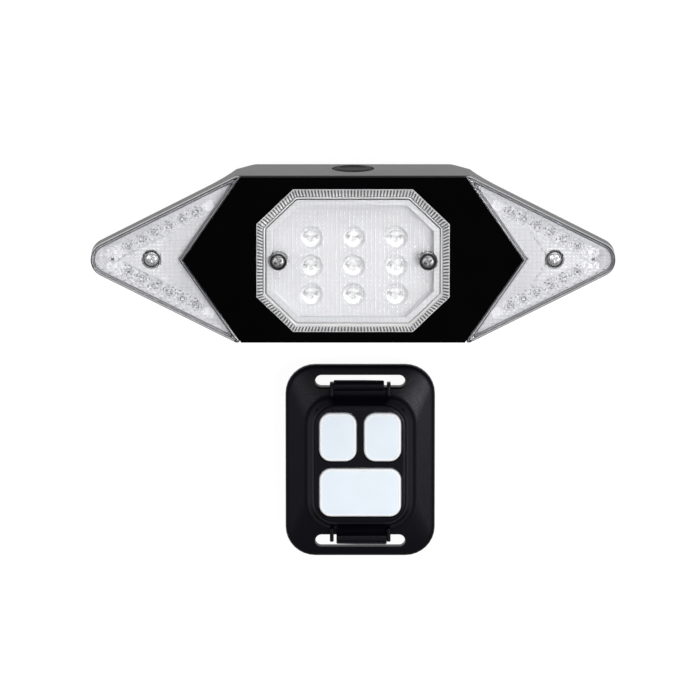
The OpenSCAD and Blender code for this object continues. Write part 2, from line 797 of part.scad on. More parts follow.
module arrow_led_board(s) {
    color("white") side(s) difference() {
        slab(rim_z - arrow_board_t, rim_z) arrow(wall + fit);
        rod(arrow_screw_x, 0, rim_z - arrow_board_t - cut, rim_z + cut, boss_d + 2 * fit);
    }
}

module arrow_reflector(s) {
    top_z = rim_z + arrow_reflector_t;
    color("gainsboro") side(s) difference() {
        union() {
            slab(rim_z, top_z) arrow_middle(strip_w);
            slab(top_z - weld, top_z + ridge_h) difference() {
                arrow_middle(strip_w);
                polygon(outline(wall + fit + strip_w + ridge_t));
            }
        }
        rod(arrow_screw_x, 0, rim_z - cut, face_z, boss_d + 2 * fit);
    }
}

// Plan of the arrow's middle, off inside the board's sloped edges
module arrow_middle(off) {
    intersection() {
        arrow(wall + fit);
        polygon(outline(wall + fit + off));
    }
}

// Rows of LEDs along both sloped edges, from the chevron to the tip
strip_off = wall + fit + strip_w / 2;
edge_dir = [cos(edge_drop), -sin(edge_drop)];
edge_in = [-sin(edge_drop), -cos(edge_drop)];
chevron_out = [lamp_h / 2, chevron_reach] / norm([lamp_h / 2, chevron_reach]);
led_reach = abs(edge_dir * chevron_out) * strip_led_l / 2 + abs(edge_in * chevron_out) * strip_led_w / 2;
row_clear = seam + wall + 2 * fit + led_reach - ([corner_land, 0] + strip_off * edge_in) * chevron_out;
row_start = row_clear / (edge_dir * chevron_out);
row_low = strip_led_w / 2 * cos(edge_drop) + strip_led_l / 2 * sin(edge_drop) + fit;
row_end = (lamp_h / 2 - strip_off * cos(edge_drop) - row_low) / sin(edge_drop);
row_count = floor((row_end - row_start) / strip_pitch) + 1;
module arrow_leds(s) {
    color("lightyellow") side(s) for (up = [0, 1]) mirror([0, up, 0]) for (i = [0 : row_count - 1])
        translate([corner_x, lamp_h / 2, rim_z]) rotate(-edge_drop)
            translate([row_end - i * strip_pitch - strip_led_l / 2, -strip_off - strip_led_w / 2, 0])
                cube([strip_led_l, strip_led_w, strip_led_h]);
}

module arrow_screw(s) {
    color("gray") translate([s * arrow_screw_x, 0, 0])
        screw_down(arrow_seat_z(), arrow_screw_tip(), screw_d, screw_head_d, screw_head_h);
}

// Electronics inside the lamp
module main_board() {
    h = inner_y - board_edge_gap;
    color("darkgreen") difference() {
        box([-board_w / 2, -h, board_z0], [board_w / 2, h, board_z1]);
        corners(standoff_x(), standoff_y())
            rod(0, 0, board_z0 - cut, board_z1 + cut, small_screw_d + 2 * fit);
    }
}

module main_board_chips() {
    x = lead_x + lead_w + chip_side / 2;
    color("#202022") for (s = [-1, 1])
        translate([s * x - chip_side / 2, switch_front - chip_side, board_z1])
            cube([chip_side, chip_side, chip_h]);
}

module main_board_screws() {
    color("silver") corners(standoff_x(), standoff_y())
        screw_down(board_z1, board_z0 - small_bite + fit, small_screw_d, small_head_d, small_head_h);
}

module battery() {
    color("lightsteelblue") translate([0, battery_y1 - battery_l / 2, 0])
        slab(battery_z0, battery_z0 + battery_t) rounded(battery_w, battery_l, battery_r);
}

module battery_pad() {
    w = battery_w - 2 * lead_w;
    h = battery_l - 2 * lead_w;
    color("#333336") translate([0, battery_y1 - battery_l / 2, 0])
        slab(board_z1, battery_z0) square([w, h], center = true);
}

module battery_leads() {
    z = battery_z0 + battery_t / 2;
    color("firebrick") for (i = [0, 1]) translate([lead_x + i * lead_w, 0, 0]) {
        box([-lead_t / 2, battery_y1, z - lead_t / 2], [lead_t / 2, lead_y + lead_t / 2, z + lead_t / 2]);
        box([-lead_t / 2, lead_y - lead_t / 2, board_z1], [lead_t / 2, lead_y + lead_t / 2, z + lead_t / 2]);
    }
}

module center_board_leads() {
    color("gold") for (i = [0, 1]) translate([-lead_x - i * lead_w, lead_y, 0])
        box([-lead_t / 2, -lead_t / 2, board_z1], [lead_t / 2, lead_t / 2, led_board_z0]);
}

module arm_lead(s) {
    color("orange") side(s) arm_ribbon(lead_w, lead_t);
}

// Power button, its switch and the charging port
module power_button() {
    top_y = lamp_h / 2 + button_proud;
    dome_r = 2 * button_d;
    color("#161618") translate([0, 0, button_z]) rotate([-90, 0, 0]) rotate_extrude() {
        translate([0, cap_in]) square([button_d / 2 + slide_gap + button_rim, button_rim_t]);
        translate([0, post_end]) square([button_post_d / 2, button_post_l + weld]);
        intersection() {
            translate([0, cap_in]) square([button_d / 2, top_y - cap_in]);
            translate([0, top_y - dome_r]) circle(dome_r);
        }
    }
}

module power_switch() {
    color("#26262a") difference() {
        box([-switch_side / 2, switch_back, board_z1],
            [switch_side / 2, switch_front, board_z1 + switch_side]);
        rod_y(0, button_z, switch_front - plunger_in - button_travel - fit, switch_front + cut,
              switch_plunger_d + 2 * play);
    }
}

module power_plunger() {
    color("ivory") rod_y(0, button_z, switch_front - plunger_in, post_end, switch_plunger_d);
}

module charging_socket() {
    front = slide_gap - inner_y;
    color("silver") difference() {
        box([-socket_w / 2, front, board_z1], [socket_w / 2, front + socket_l, board_z1 + socket_h]);
        box([socket_wall - socket_w / 2, front - cut, board_z1 + socket_wall],
            [socket_w / 2 - socket_wall, front + socket_l - socket_wall, board_z1 + socket_h - socket_wall]);
    }
}

// Rubber plug: outer flap, block in the port and a barbed tether stem
plug_barb_d = tether_d + 2 * slide_gap + 2 * fit;
module port_plug() {
    flap_y = -lamp_h / 2 - fit;
    flap_l = socket_w / 2 + plug_border;
    flap_end = tether_x + tether_d / 2 + plug_border;
    stem_end = plug_travel + 2 * fit - inner_y;
    color("#161618") {
        translate([(flap_end - flap_l) / 2, flap_y - plug_flap_t, socket_z]) rotate([-90, 0, 0])
            linear_extrude(plug_flap_t) pill(flap_end + flap_l, socket_h + 2 * plug_border);
        translate([0, flap_y - weld, socket_z]) rotate([-90, 0, 0]) linear_extrude(wall + fit)
            pill(socket_w - 2 * fit, socket_h - 2 * fit);
        rod_y(tether_x, socket_z, flap_y - weld, stem_end + weld, tether_d);
        rod_y(tether_x, socket_z, stem_end, stem_end + plug_barb_l, plug_barb_d);
    }
}

module housing_screws() {
    tip_z = floor_z + house_boss_h + screw_bite;
    color("gray") corners(house_screw_x, house_screw_y)
        screw_up(floor_z, tip_z, screw_d, screw_head_d, screw_head_h);
}

// Strap saddle on the back of the lamp
module mount_saddle() {
    color("#202022") difference() {
        slab(saddle_pad_h, rear_z) difference() {
            rounded(saddle_w, saddle_l, saddle_corner_r);
            for (s = [-1, 1]) translate([s * (saddle_w / 2 - slot_out), 0]) rotate(90)
                pill(saddle_l - 2 * slot_land, slot_w);
        }
        corners(saddle_screw_x, saddle_screw_y) rod(0, 0, saddle_pad_h - cut, rear_z + cut, hole_d);
    }
}

// Block with a groove for a round tube along X
module groove_pad(r, l, w, h) {
    difference() {
        translate([-l / 2, -w / 2, 0]) cube([l, w, h]);
        translate([-l / 2 - cut, 0, -r * cos(groove_half)]) rotate([0, 90, 0])
            cylinder(h = l + 2 * cut, r = r, $fn = 96);
    }
}

module saddle_pad() {
    w = 2 * post_r * sin(groove_half) + 2 * saddle_lip;
    color("#2a2a2c") rotate(90) groove_pad(post_r, saddle_l, w, saddle_pad_h);
}

module saddle_screws() {
    color("gray") corners(saddle_screw_x, saddle_screw_y)
        screw_up(saddle_pad_h, saddle_screw_tip, screw_d, screw_head_d, screw_head_h);
}

// Remote shells
module hook() {
    lift = hook_d / 4;
    y = remote_h / 2 - slot_land - slot_w + lift;
    z = plate_z1 + lift;
    translate([-hook_l / 2 - weld, y, z]) rotate([0, 90, 0])
        cylinder(h = hook_l + weld - hook_gap, d = hook_d);
    box([-hook_l / 2, y - hook_d / 2, plate_z1 - weld], [hook_l / 2 - hook_gap, y, z]);
    for (s = [-1, 1]) translate([s * (hook_l + ear_t) / 2, 0, 0])
        box([-ear_t / 2, y - hook_d, plate_z1 - weld], [ear_t / 2, y + lift, z + lift]);
}

module key_plan(w, h, grow) {
    rounded(w + 2 * grow, h + 2 * grow, key_corner_r + grow);
}

module key_places() {
    translate([-upper_key_x, upper_key_y, 0]) children(0);
    translate([upper_key_x, upper_key_y, 0]) children(0);
    translate([0, lower_key_y, 0]) children(1);
}

module remote_top_cover() {
    color("#202024") difference() {
        union() {
            slab(plate_z0, plate_z1) rounded(remote_w, remote_h, remote_corner_r);
            hull() {
                slab(plate_z1 - weld, plate_z1)
                    rounded(platform_w + 2 * platform_slope, platform_h + 2 * platform_slope,
                            platform_corner_r + platform_slope, $fn = 32);
                slab(roof_z1 - weld, roof_z1) rounded(platform_w, platform_h, platform_corner_r, $fn = 32);
            }
            for (a = [0, 180]) rotate(a) hook();
        }
        translate([0, 0, plate_z0 - cut]) linear_extrude(roof_z0 - plate_z0 + cut)
            square([inside_w, inside_h], center = true);
        for (s = [-1, 1]) translate([0, s * (remote_h / 2 - slot_out), 0])
            slab(plate_z0 - cut, plate_z1) pill(slot_l, slot_w);
        slab(roof_z0 - cut, roof_z1 + cut) key_places() {
            key_plan(key_w, key_h, key_gap);
            key_plan(lower_key_w, lower_key_h, key_gap);
        }
        slab(plate_z0 - cut, plate_z0 + seal_h) seal_ring(fit / 2);
        corners(remote_screw_x, remote_screw_y)
            rod(0, 0, plate_z0 - cut, plate_z0 + small_bite + fit, small_screw_d + 2 * play);
    }
}

// Plan of the seal, with its channel grown by g on each side
module seal_ring(g) {
    out = 2 * (seal_wall + seal_w + g);
    in = 2 * (seal_wall - g);
    difference() {
        square([inside_w + out, inside_h + out], center = true);
        square([inside_w + in, inside_h + in], center = true);
    }
}

module remote_seal() {
    color("#3a3a3e") slab(plate_z0, plate_z0 + seal_h) seal_ring(0);
}

module remote_rear_cover() {
    color("#202024") difference() {
        union() {
            slab(bar_pad_h, plate_z0) rounded(rear_cover_w, rear_cover_h, rear_cover_r);
            difference() {
                rod(0, 0, plate_z0 - weld, plate_z0 + cell_ring_h, cell_d + 2 * fit + 2 * cell_ring_t);
                rod(0, 0, plate_z0, plate_z0 + cell_t, cell_d + 2 * fit);
                box([0, -contact_w, plate_z0], [cell_d, contact_w, plate_z0 + cell_t]);
            }
            corners((board_inside_w - board_post_d) / 2, (board_inside_h - board_post_d) / 2)
                rod(0, 0, plate_z0 - weld, remote_board_z0, board_post_d);
        }
        corners(remote_screw_x, remote_screw_y) {
            rod(0, 0, bar_pad_h - cut, plate_z0 + cut, small_screw_d + 2 * fit);
            rod(0, 0, bar_pad_h - cut, bar_pad_h + small_head_h, small_head_d + 2 * fit);
        }
    }
}

module remote_board() {
    color("darkgreen") slab(remote_board_z0, remote_board_z1)
        square([board_inside_w, board_inside_h], center = true);
}

module remote_chip() {
    x = board_inside_w / 2 - board_post_d - 2 * fit - chip_side / 2;
    y = board_inside_h / 2 - fit - chip_side / 2;
    color("#202022") translate([x, y, 0])
        slab(remote_board_z0 - chip_h, remote_board_z0) square(chip_side, center = true);
}

// Keys with their switches and plungers
module key(x, y, w, h) {
    recess = tact_side + 2 * slide_gap;
    color("aliceblue") translate([x, y, 0]) difference() {
        union() {
            slab(flange_z0, flange_z1) key_plan(w, h, key_flange);
            slab(flange_z1 - weld, key_z1) key_plan(w, h, 0);
        }
        slab(flange_z0 - cut, key_ceiling_z) square(recess, center = true);
    }
}

module tact_switch(x, y) {
    color("#26262a") translate([x, y, 0]) difference() {
        slab(remote_board_z1, tact_z1) square(tact_side, center = true);
        rod(0, 0, tact_z1 - 2 * key_travel - fit, tact_z1 + cut, tact_plunger_d + 2 * play);
    }
}

module tact_plunger(x, y) {
    color("ivory") rod(x, y, tact_z1 - key_travel, key_ceiling_z, tact_plunger_d);
}

module coin_cell() {
    color("silver") rod(0, 0, plate_z0, plate_z0 + cell_t, cell_d);
}

module cell_contacts() {
    x = cell_d / 2 + play;
    color("goldenrod") {
        slab(plate_z0 + cell_t, remote_board_z0) square([cell_d / 2, contact_w], center = true);
        box([x, -contact_w / 2, plate_z0 + cell_t / 2], [x + contact_t, contact_w / 2, remote_board_z0]);
    }
}

module remote_screws() {
    seat_z = bar_pad_h + small_head_h;
    color("gray") corners(remote_screw_x, remote_screw_y)
        screw_up(seat_z, plate_z0 + small_bite, small_screw_d, small_head_d, small_head_h);
}

module handlebar_pad() {
    w = 2 * bar_r * sin(groove_half) + 2 * bar_lip;
    color("#2a2a2c") groove_pad(bar_r, bar_pad_l, w, bar_pad_h);
}

at_lamp() rear_housing();
at_lamp() front_bezel();
at_lamp() housing_gasket();
at_lamp() center_lens();
at_lamp() center_lens_gasket();
at_lamp() center_reflector();
at_lamp() center_led_board();
at_lamp() center_leds();
at_lamp() center_lens_screws();
at_lamp() arrow_lens(-1);  // left_arrow_lens
at_lamp() arrow_lens(1);  // right_arrow_lens
at_lamp() arrow_reflector(-1);  // left_reflector
at_lamp() arrow_reflector(1);  // right_reflector
at_lamp() arrow_led_board(-1);  // left_led_board
at_lamp() arrow_led_board(1);  // right_led_board
at_lamp() arrow_leds(-1);  // left_leds
at_lamp() arrow_leds(1);  // right_leds
at_lamp() arrow_screw(-1);  // left_lens_screw
at_lamp() arrow_screw(1);  // right_lens_screw
at_lamp() main_board();
at_lamp() main_board_chips();
at_lamp() main_board_screws();
at_lamp() battery();
at_lamp() battery_pad();
at_lamp() battery_leads();
at_lamp() center_board_leads();
at_lamp() arm_lead(-1);  // left_arm_lead
at_lamp() arm_lead(1);  // right_arm_lead
at_lamp() power_button();
at_lamp() power_switch();
at_lamp() power_plunger();
at_lamp() charging_socket();
at_lamp() port_plug();
at_lamp() housing_screws();
at_lamp() mount_saddle();
at_lamp() saddle_pad();
at_lamp() saddle_screws();
at_remote() remote_top_cover();
at_remote() remote_rear_cover();
at_remote() remote_seal();
at_remote() remote_board();
at_remote() remote_chip();
at_remote() key(-upper_key_x, upper_key_y, key_w, key_h);  // left_key
at_remote() key(upper_key_x, upper_key_y, key_w, key_h);  // right_key
at_remote() key(0, lower_key_y, lower_key_w, lower_key_h);  // lower_key
at_remote() tact_switch(-upper_key_x, upper_key_y);  // left_switch
at_remote() tact_switch(upper_key_x, upper_key_y);  // right_switch
at_remote() tact_switch(0, lower_key_y);  // lower_switch
at_remote() tact_plunger(-upper_key_x, upper_key_y);  // left_plunger
at_remote() tact_plunger(upper_key_x, upper_key_y);  // right_plunger
at_remote() tact_plunger(0, lower_key_y);  // lower_plunger
at_remote() coin_cell();
at_remote() cell_contacts();
at_remote() remote_screws();
at_remote() handlebar_pad();
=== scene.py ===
import math

import bmesh
import bpy
from mathutils import Matrix, Vector


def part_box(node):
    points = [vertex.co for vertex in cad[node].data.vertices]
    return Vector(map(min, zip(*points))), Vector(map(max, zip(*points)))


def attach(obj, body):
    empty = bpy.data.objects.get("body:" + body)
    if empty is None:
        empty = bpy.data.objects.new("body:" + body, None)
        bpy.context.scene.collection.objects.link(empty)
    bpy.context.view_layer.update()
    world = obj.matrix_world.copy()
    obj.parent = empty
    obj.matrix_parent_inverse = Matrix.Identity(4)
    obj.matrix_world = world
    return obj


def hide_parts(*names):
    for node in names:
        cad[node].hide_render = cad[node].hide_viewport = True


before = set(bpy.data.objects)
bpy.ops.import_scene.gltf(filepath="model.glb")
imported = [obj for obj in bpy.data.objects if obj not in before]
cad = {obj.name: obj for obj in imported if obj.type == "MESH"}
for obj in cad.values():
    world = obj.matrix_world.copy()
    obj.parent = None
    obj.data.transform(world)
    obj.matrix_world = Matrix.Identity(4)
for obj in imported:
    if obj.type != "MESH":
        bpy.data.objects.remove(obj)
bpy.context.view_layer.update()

# Pieces are drawn in millimetres, from the middle of the lamp or of the remote, and placed in metres.

MM = 0.001
WELD = 1e-7
LIFT = 0.02  # clear pieces stand this far off what carries them, so that no two faces coincide
OVERCUT = 1.0  # cutters reach this far past what they cut
SIDES = ((1, "right"), (-1, "left"))


def box_mm(node, origin=Vector((0, 0, 0))):
    """Lowest and highest corner of a CAD node in millimetres, from an origin."""
    lo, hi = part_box(node)
    return lo / MM - origin, hi / MM - origin


def mid(lo, hi):
    """Middle of a box, seen from above."""
    return (lo.x + hi.x) / 2, (lo.y + hi.y) / 2


def middle(node):
    """Point on the table under the middle of a CAD node, in millimetres."""
    lo, hi = box_mm(node)
    return Vector((*mid(lo, hi), 0))


def solids(node, origin):
    """Boxes of a CAD node's separate solids in millimetres, from an origin, in a fixed order."""
    bm = bmesh.new()
    bm.from_mesh(cad[node].data)
    bmesh.ops.remove_doubles(bm, verts=bm.verts, dist=WELD)
    boxes, seen = [], set()
    for start in bm.verts:
        if start in seen:
            continue
        seen.add(start)
        stack, found = [start], []
        while stack:
            vert = stack.pop()
            found.append(vert.co / MM - origin)
            for edge in vert.link_edges:
                other = edge.other_vert(vert)
                if other not in seen:
                    seen.add(other)
                    stack.append(other)
        lo = Vector([min(c[i] for c in found) for i in range(3)])
        hi = Vector([max(c[i] for c in found) for i in range(3)])
        boxes.append((lo, hi))
    bm.free()
    return sorted(boxes, key=lambda b: tuple(round(v, 3) for v in b[0]))


LAMP = middle("rear_housing")
REMOTE = middle("remote_top_cover")

# Sizes of the lamp's covers that the boxes don't give

TIP_R, TIP_STEPS = 5.0, 14
CORNER_X = 33.5
CHEVRON_X = 32.0
CHEVRON_REACH = 16.5
SEAM = 0.15
ARROW_CORNER, CORNER_RUN = 0.35, 3.0
HALF_W, HALF_H = box_mm("rear_housing", LAMP)[1].xy
COVER_Z = box_mm("housing_gasket", LAMP)[1].z
FACE_Z = box_mm("front_bezel", LAMP)[1].z
TIP_X = HALF_W - TIP_R
TIP_DISTANCE = math.hypot(TIP_X - CORNER_X, HALF_H)
EDGE_NORMAL = math.atan2(HALF_H, CORNER_X - TIP_X) - math.acos(TIP_R / TIP_DISTANCE)
EDGE_DROP = math.pi / 2 - EDGE_NORMAL


# Outlines

def arc(x, y, r, start, end, steps):
    """Points of an arc about (x, y), its angles in degrees."""
    turns = [math.radians(start + (end - start) * i / steps) for i in range(steps + 1)]
    return [Vector((x + r * math.cos(a), y + r * math.sin(a))) for a in turns]


def circle(r, steps=32):
    """Circle about the origin, anticlockwise."""
    return arc(0, 0, r, 0, 360, steps)[:-1]


def round_rect(w, h, r, steps=8):
    """Rounded rectangle about the origin, anticlockwise."""
    x, y = w / 2 - r, h / 2 - r
    corners = ((x, y, 0), (-x, y, 90), (-x, -y, 180), (x, -y, 270))
    return [p for cx, cy, a in corners for p in arc(cx, cy, r, a, a + 90, steps)]


def pill(w, h, steps=16):
    """Outline with two half-round ends, anticlockwise."""
    x = (w - h) / 2
    return arc(x, 0, h / 2, -90, 90, steps) + arc(-x, 0, h / 2, 90, 270, steps)


def moved(points, x, y):
    """Outline shifted by x and y."""
    return [p + Vector((x, y)) for p in points]


def inset(points, d):
    """Anticlockwise outline moved inward by d, its sides kept parallel."""
    out = []
    for i, b in enumerate(points):
        a, c = points[i - 1], points[(i + 1) % len(points)]
        u, v = (b - a).normalized(), (c - b).normalized()
        m, k = Vector((-u.y, u.x)), Vector((-v.y, v.x))
        out.append(b + (m + k) * (d / (1 + m.dot(k))))
    return out


def rounded(points, radii, steps=6):
    """Outline with some corners rounded; radii are keyed by corner number."""
    out = []
    for i, b in enumerate(points):
        if i not in radii:
            out.append(b)
            continue
        a, c = points[i - 1], points[(i + 1) % len(points)]
        u, v = (a - b).normalized(), (c - b).normalized()
        half = u.angle(v) / 2
        centre = b + (u + v).normalized() * (radii[i] / math.sin(half))
        start = u * (radii[i] / math.tan(half)) + b - centre
        end = v * (radii[i] / math.tan(half)) + b - centre
        first = math.degrees(math.atan2(start.y, start.x))
        turn = (math.degrees(math.atan2(end.y, end.x)) - first + 180) % 360 - 180
        out += arc(centre.x, centre.y, radii[i], first, first + turn, steps)
    return out


def octagon(w, h, cut_x, cut_y):
    """Rectangle with cut corners, anticlockwise."""
    x, y = w / 2, h / 2
    right = [(x, -y + cut_y), (x, y - cut_y), (x - cut_x, y), (-x + cut_x, y)]
    return [Vector(p) for p in right] + [-Vector(p) for p in right]


def arrow(d):
    """Right-hand arrow lens's outline, d inside it, with its two inner corners rounded."""
    shoulder = Vector((CORNER_X - d * math.tan(EDGE_DROP / 2), HALF_H - d))
    lean = CHEVRON_REACH / HALF_H
    point_x = CHEVRON_X + CHEVRON_REACH + (SEAM + d) * math.hypot(1, lean)
    along = Vector((math.cos(EDGE_DROP), -math.sin(EDGE_DROP)))
    t = (point_x - lean * shoulder.y - shoulder.x) / (along.x + lean * along.y)
    if t > 0:
        upper = [shoulder + along * (t + CORNER_RUN), shoulder + along * t]
    else:
        upper = [shoulder, Vector((point_x - lean * shoulder.y, shoulder.y))]
    if d < TIP_R:
        swing = math.degrees(EDGE_NORMAL)
        tip = arc(TIP_X, 0, TIP_R - d, -swing, swing, TIP_STEPS)
    else:
        tip = [Vector((shoulder.x + shoulder.y / math.tan(EDGE_DROP), 0))]
    lower = [Vector((p.x, -p.y)) for p in reversed(upper)]
    points = [Vector((point_x, 0))] + lower + tip + upper
    return rounded(points, {1: ARROW_CORNER, len(points) - 1: ARROW_CORNER})


def within(point, points):
    """True if a point lies inside an outline."""
    inside = False
    for i, b in enumerate(points):
        a = points[i - 1]
        if (a.y > point.y) != (b.y > point.y):
            if point.x < a.x + (b.x - a.x) * (point.y - a.y) / (b.y - a.y):
                inside = not inside
    return inside


# Solids as bmeshes

def level(points, z):
    """Outline lifted to a level."""
    return [Vector((p.x, p.y, z)) for p in points]


def loft(rings, marks=()):
    """Closed skin over rings of equal length, its ends filled; marks number the bands' materials."""
    bm = bmesh.new()
    rows = [[bm.verts.new(p) for p in ring] for ring in rings]
    for n, (a, b) in enumerate(zip(rows, rows[1:])):
        for i in range(len(a)):
            j = (i + 1) % len(a)
            bm.faces.new((a[i], a[j], b[j], b[i])).material_index = marks[n] if marks else 0
    bm.faces.new(rows[0][::-1])
    bm.faces.new(rows[-1])
    return bm


def slab(points, z0, z1, top=0.0, bottom=0.0, steps=4):
    """Solid over an outline between two levels, its rims rounded by those radii."""
    quarter = [math.pi / 2 * i / steps for i in range(steps + 1)]
    rims = [(0, z0)]
    if bottom:
        rims = [(bottom * (1 - math.sin(a)), z0 + bottom * (1 - math.cos(a))) for a in quarter]
    if top:
        rims += [(top * (1 - math.cos(a)), z1 - top * (1 - math.sin(a))) for a in quarter]
    else:
        rims.append((0, z1))
    return loft([level(inset(points, d), z) for d, z in rims])


def turned(profile, steps=48):
    """Solid turned about the upright axis from (radius, level) pairs."""
    bm = bmesh.new()
    rows = []
    for r, z in profile:
        ring = circle(r, steps) if r else [Vector((0, 0))]
        rows.append([bm.verts.new(p) for p in level(ring, z)])
    for a, b in zip(rows, rows[1:]):
        for i in range(steps):
            j = (i + 1) % steps
            corners = (a[i % len(a)], a[j % len(a)], b[j % len(b)], b[i % len(b)])
            corners = list(dict.fromkeys(corners))
            if len(corners) > 2:
                bm.faces.new(corners)
    for row in (rows[0], rows[-1]):
        if len(row) > 2:
            bm.faces.new(row)
    return bm


def rod(r, z0, z1, steps=48):
    """Upright round solid about the origin."""
    return turned([(0, z0), (r, z0), (r, z1), (0, z1)], steps)


def put(bm, x=0.0, y=0.0, z=0.0, turn=None):
    """Turns a solid and then shifts it, in place."""
    bm.transform(Matrix.Translation((x, y, z)) @ (turn or Matrix.Identity(4)))
    return bm


def spin(degrees, axis):
    """Rotation about an axis through the origin."""
    return Matrix.Rotation(math.radians(degrees), 4, axis)


def paint(bm, index):
    """Gives all of a solid's faces one material number."""
    for face in bm.faces:
        face.material_index = index
    return bm


def together(parts):
    """One bmesh of several separate ones."""
    whole = bmesh.new()
    for part in parts:
        mesh = bpy.data.meshes.new("part")
        part.to_mesh(mesh)
        part.free()
        whole.from_mesh(mesh)
        bpy.data.meshes.remove(mesh)
    return whole


def carve(bm, tool, operation="DIFFERENCE"):
    """A closed solid cut by another, joined to it, or kept within it."""
    pair = []
    for part in (bm, tool):
        bmesh.ops.recalc_face_normals(part, faces=part.faces)
        mesh = bpy.data.meshes.new("carve")
        part.to_mesh(mesh)
        part.free()
        obj = bpy.data.objects.new("carve", mesh)
        bpy.context.scene.collection.objects.link(obj)
        pair.append(obj)
    modifier = pair[0].modifiers.new("carve", "BOOLEAN")
    modifier.object, modifier.operation, modifier.solver = pair[1], operation, "EXACT"
    out = bmesh.new()
    out.from_mesh(pair[0].evaluated_get(bpy.context.evaluated_depsgraph_get()).to_mesh())
    for obj in pair:
        mesh = obj.data
        bpy.data.objects.remove(obj)
        bpy.data.meshes.remove(mesh)
    return out


def piece(name, bm, origin, body, materials, hides=(), sharp=35):
    """Finishes a solid as a named piece of the object that stands for some CAD nodes."""
    bmesh.ops.recalc_face_normals(bm, faces=bm.faces)
    bm.transform(Matrix.Translation(origin * MM) @ Matrix.Scale(MM, 4))
    mesh = bpy.data.meshes.new(name)
    bm.to_mesh(mesh)
    bm.free()
    for material in materials:
        mesh.materials.append(material)
    mesh.shade_smooth()
    mesh.set_sharp_from_angle(angle=math.radians(sharp))
    obj = bpy.data.objects.new(name, mesh)
    bpy.context.scene.collection.objects.link(obj)
    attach(obj, body)
    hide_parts(*hides)
    return obj


EDGE_STEPS, EDGE_ANGLE, FLAT_ANGLE = 3, math.radians(40), math.radians(0.5)


def dress(names, material, radius=0.0):
    """Gives CAD nodes a material and softens their sharp edges by a radius in millimetres."""
    for name in names:
        obj = cad[name]
        obj.data.materials.clear()
        obj.data.materials.append(material)
        if radius:
            obj.modifiers.new("weld", "WELD").merge_threshold = WELD * 10
            flat = obj.modifiers.new("flat", "DECIMATE")
            flat.decimate_type, flat.angle_limit = "DISSOLVE", FLAT_ANGLE
            edge = obj.modifiers.new("edge", "BEVEL")
            edge.width, edge.segments = radius * MM, EDGE_STEPS
            edge.limit_method, edge.angle_limit = "ANGLE", EDGE_ANGLE
            obj.modifiers.new("normals", "WEIGHTED_NORMAL").keep_sharp = True


# Materials

NOISE_LOW, NOISE_HIGH = 0.3, 0.7  # most values of a noise lie between these
PLAIN_DETAIL, RICH_DETAIL = 3.0, 4.0


def shader_of(name):
    """New material with its node tree and main shader."""
    material = bpy.data.materials.new(name)
    material.use_nodes = True
    tree = material.node_tree
    return material, tree, tree.nodes["Principled BSDF"]


def fill(node, **values):
    """Sets input sockets of a node; an underscore stands for a space in a socket's name."""
    for socket, value in values.items():
        node.inputs[socket.replace("_", " ")].default_value = value


def mixed(tree, factor, first, second, output):
    """Shows the second of two shaders where a factor is 1, and the first elsewhere."""
    mix = tree.nodes.new("ShaderNodeMixShader")
    for source, socket in zip((factor, first, second), mix.inputs):
        tree.links.new(source, socket)
    tree.links.new(mix.outputs["Shader"], tree.nodes[output].inputs["Surface"])


def noise(tree, size, detail=PLAIN_DETAIL, stretch=(1, 1, 1)):
    """Noise over the object's own coordinates, its grain of that size in millimetres."""
    place = tree.nodes.new("ShaderNodeTexCoord")
    scale = tree.nodes.new("ShaderNodeMapping")
    grain = tree.nodes.new("ShaderNodeTexNoise")
    fill(scale, Scale=stretch)
    fill(grain, Scale=1 / (size * MM), Detail=detail)
    tree.links.new(place.outputs["Object"], scale.inputs["Vector"])
    tree.links.new(scale.outputs["Vector"], grain.inputs["Vector"])
    return grain.outputs["Fac"]


def tint(tree, value, low, high, start=NOISE_LOW, end=NOISE_HIGH):
    """Colour between two colours by a value."""
    ramp = tree.nodes.new("ShaderNodeValToRGB")
    for stop, place, color in zip(ramp.color_ramp.elements, (start, end), (low, high)):
        stop.position, stop.color = place, (*color, 1)
    tree.links.new(value, ramp.inputs["Fac"])
    return ramp.outputs["Color"]


def span(tree, value, low, high):
    """Number between two numbers by a value."""
    reach = tree.nodes.new("ShaderNodeMapRange")
    fill(reach, From_Min=NOISE_LOW, From_Max=NOISE_HIGH, To_Min=low, To_Max=high)
    tree.links.new(value, reach.inputs["Value"])
    return reach.outputs["Result"]


def relief(tree, shader, value, depth, strength=0.6):
    """Bump of a depth in millimetres on a shader."""
    bump = tree.nodes.new("ShaderNodeBump")
    fill(bump, Distance=depth * MM, Strength=strength)
    tree.links.new(value, bump.inputs["Height"])
    tree.links.new(bump.outputs["Normal"], shader.inputs["Normal"])


def moulded(name, color, roughness, grain=0.3, depth=0.02, spread=0.1, patch=9.0, uneven=0.07, **sockets):
    """Moulded plastic or rubber with a fine surface grain and faint broad changes of colour."""
    material, tree, shader = shader_of(name)
    fine, broad = noise(tree, grain), noise(tree, patch, RICH_DETAIL)
    low, high = ([min(1, c * k) for c in color] for k in (1 - spread, 1 + spread))
    tree.links.new(tint(tree, broad, low, high), shader.inputs["Base Color"])
    tree.links.new(span(tree, fine, roughness - uneven, roughness + uneven), shader.inputs["Roughness"])
    relief(tree, shader, fine, depth)
    fill(shader, **sockets)
    return material


def metal(name, color, roughness, stretch=(1, 1, 1), grain=0.25,
          spot=1.5, dull=0.8, worn=(-0.1, 0.12), depth=0.01):
    """Worked metal with fine tool marks and a few dull spots."""
    material, tree, shader = shader_of(name)
    marks, spots = noise(tree, grain, RICH_DETAIL, stretch), noise(tree, spot)
    fill(shader, Metallic=1.0)
    low = [c * dull for c in color]
    tree.links.new(tint(tree, spots, low, color), shader.inputs["Base Color"])
    tree.links.new(span(tree, marks, *(roughness + change for change in worn)), shader.inputs["Roughness"])
    relief(tree, shader, marks, depth)
    return material


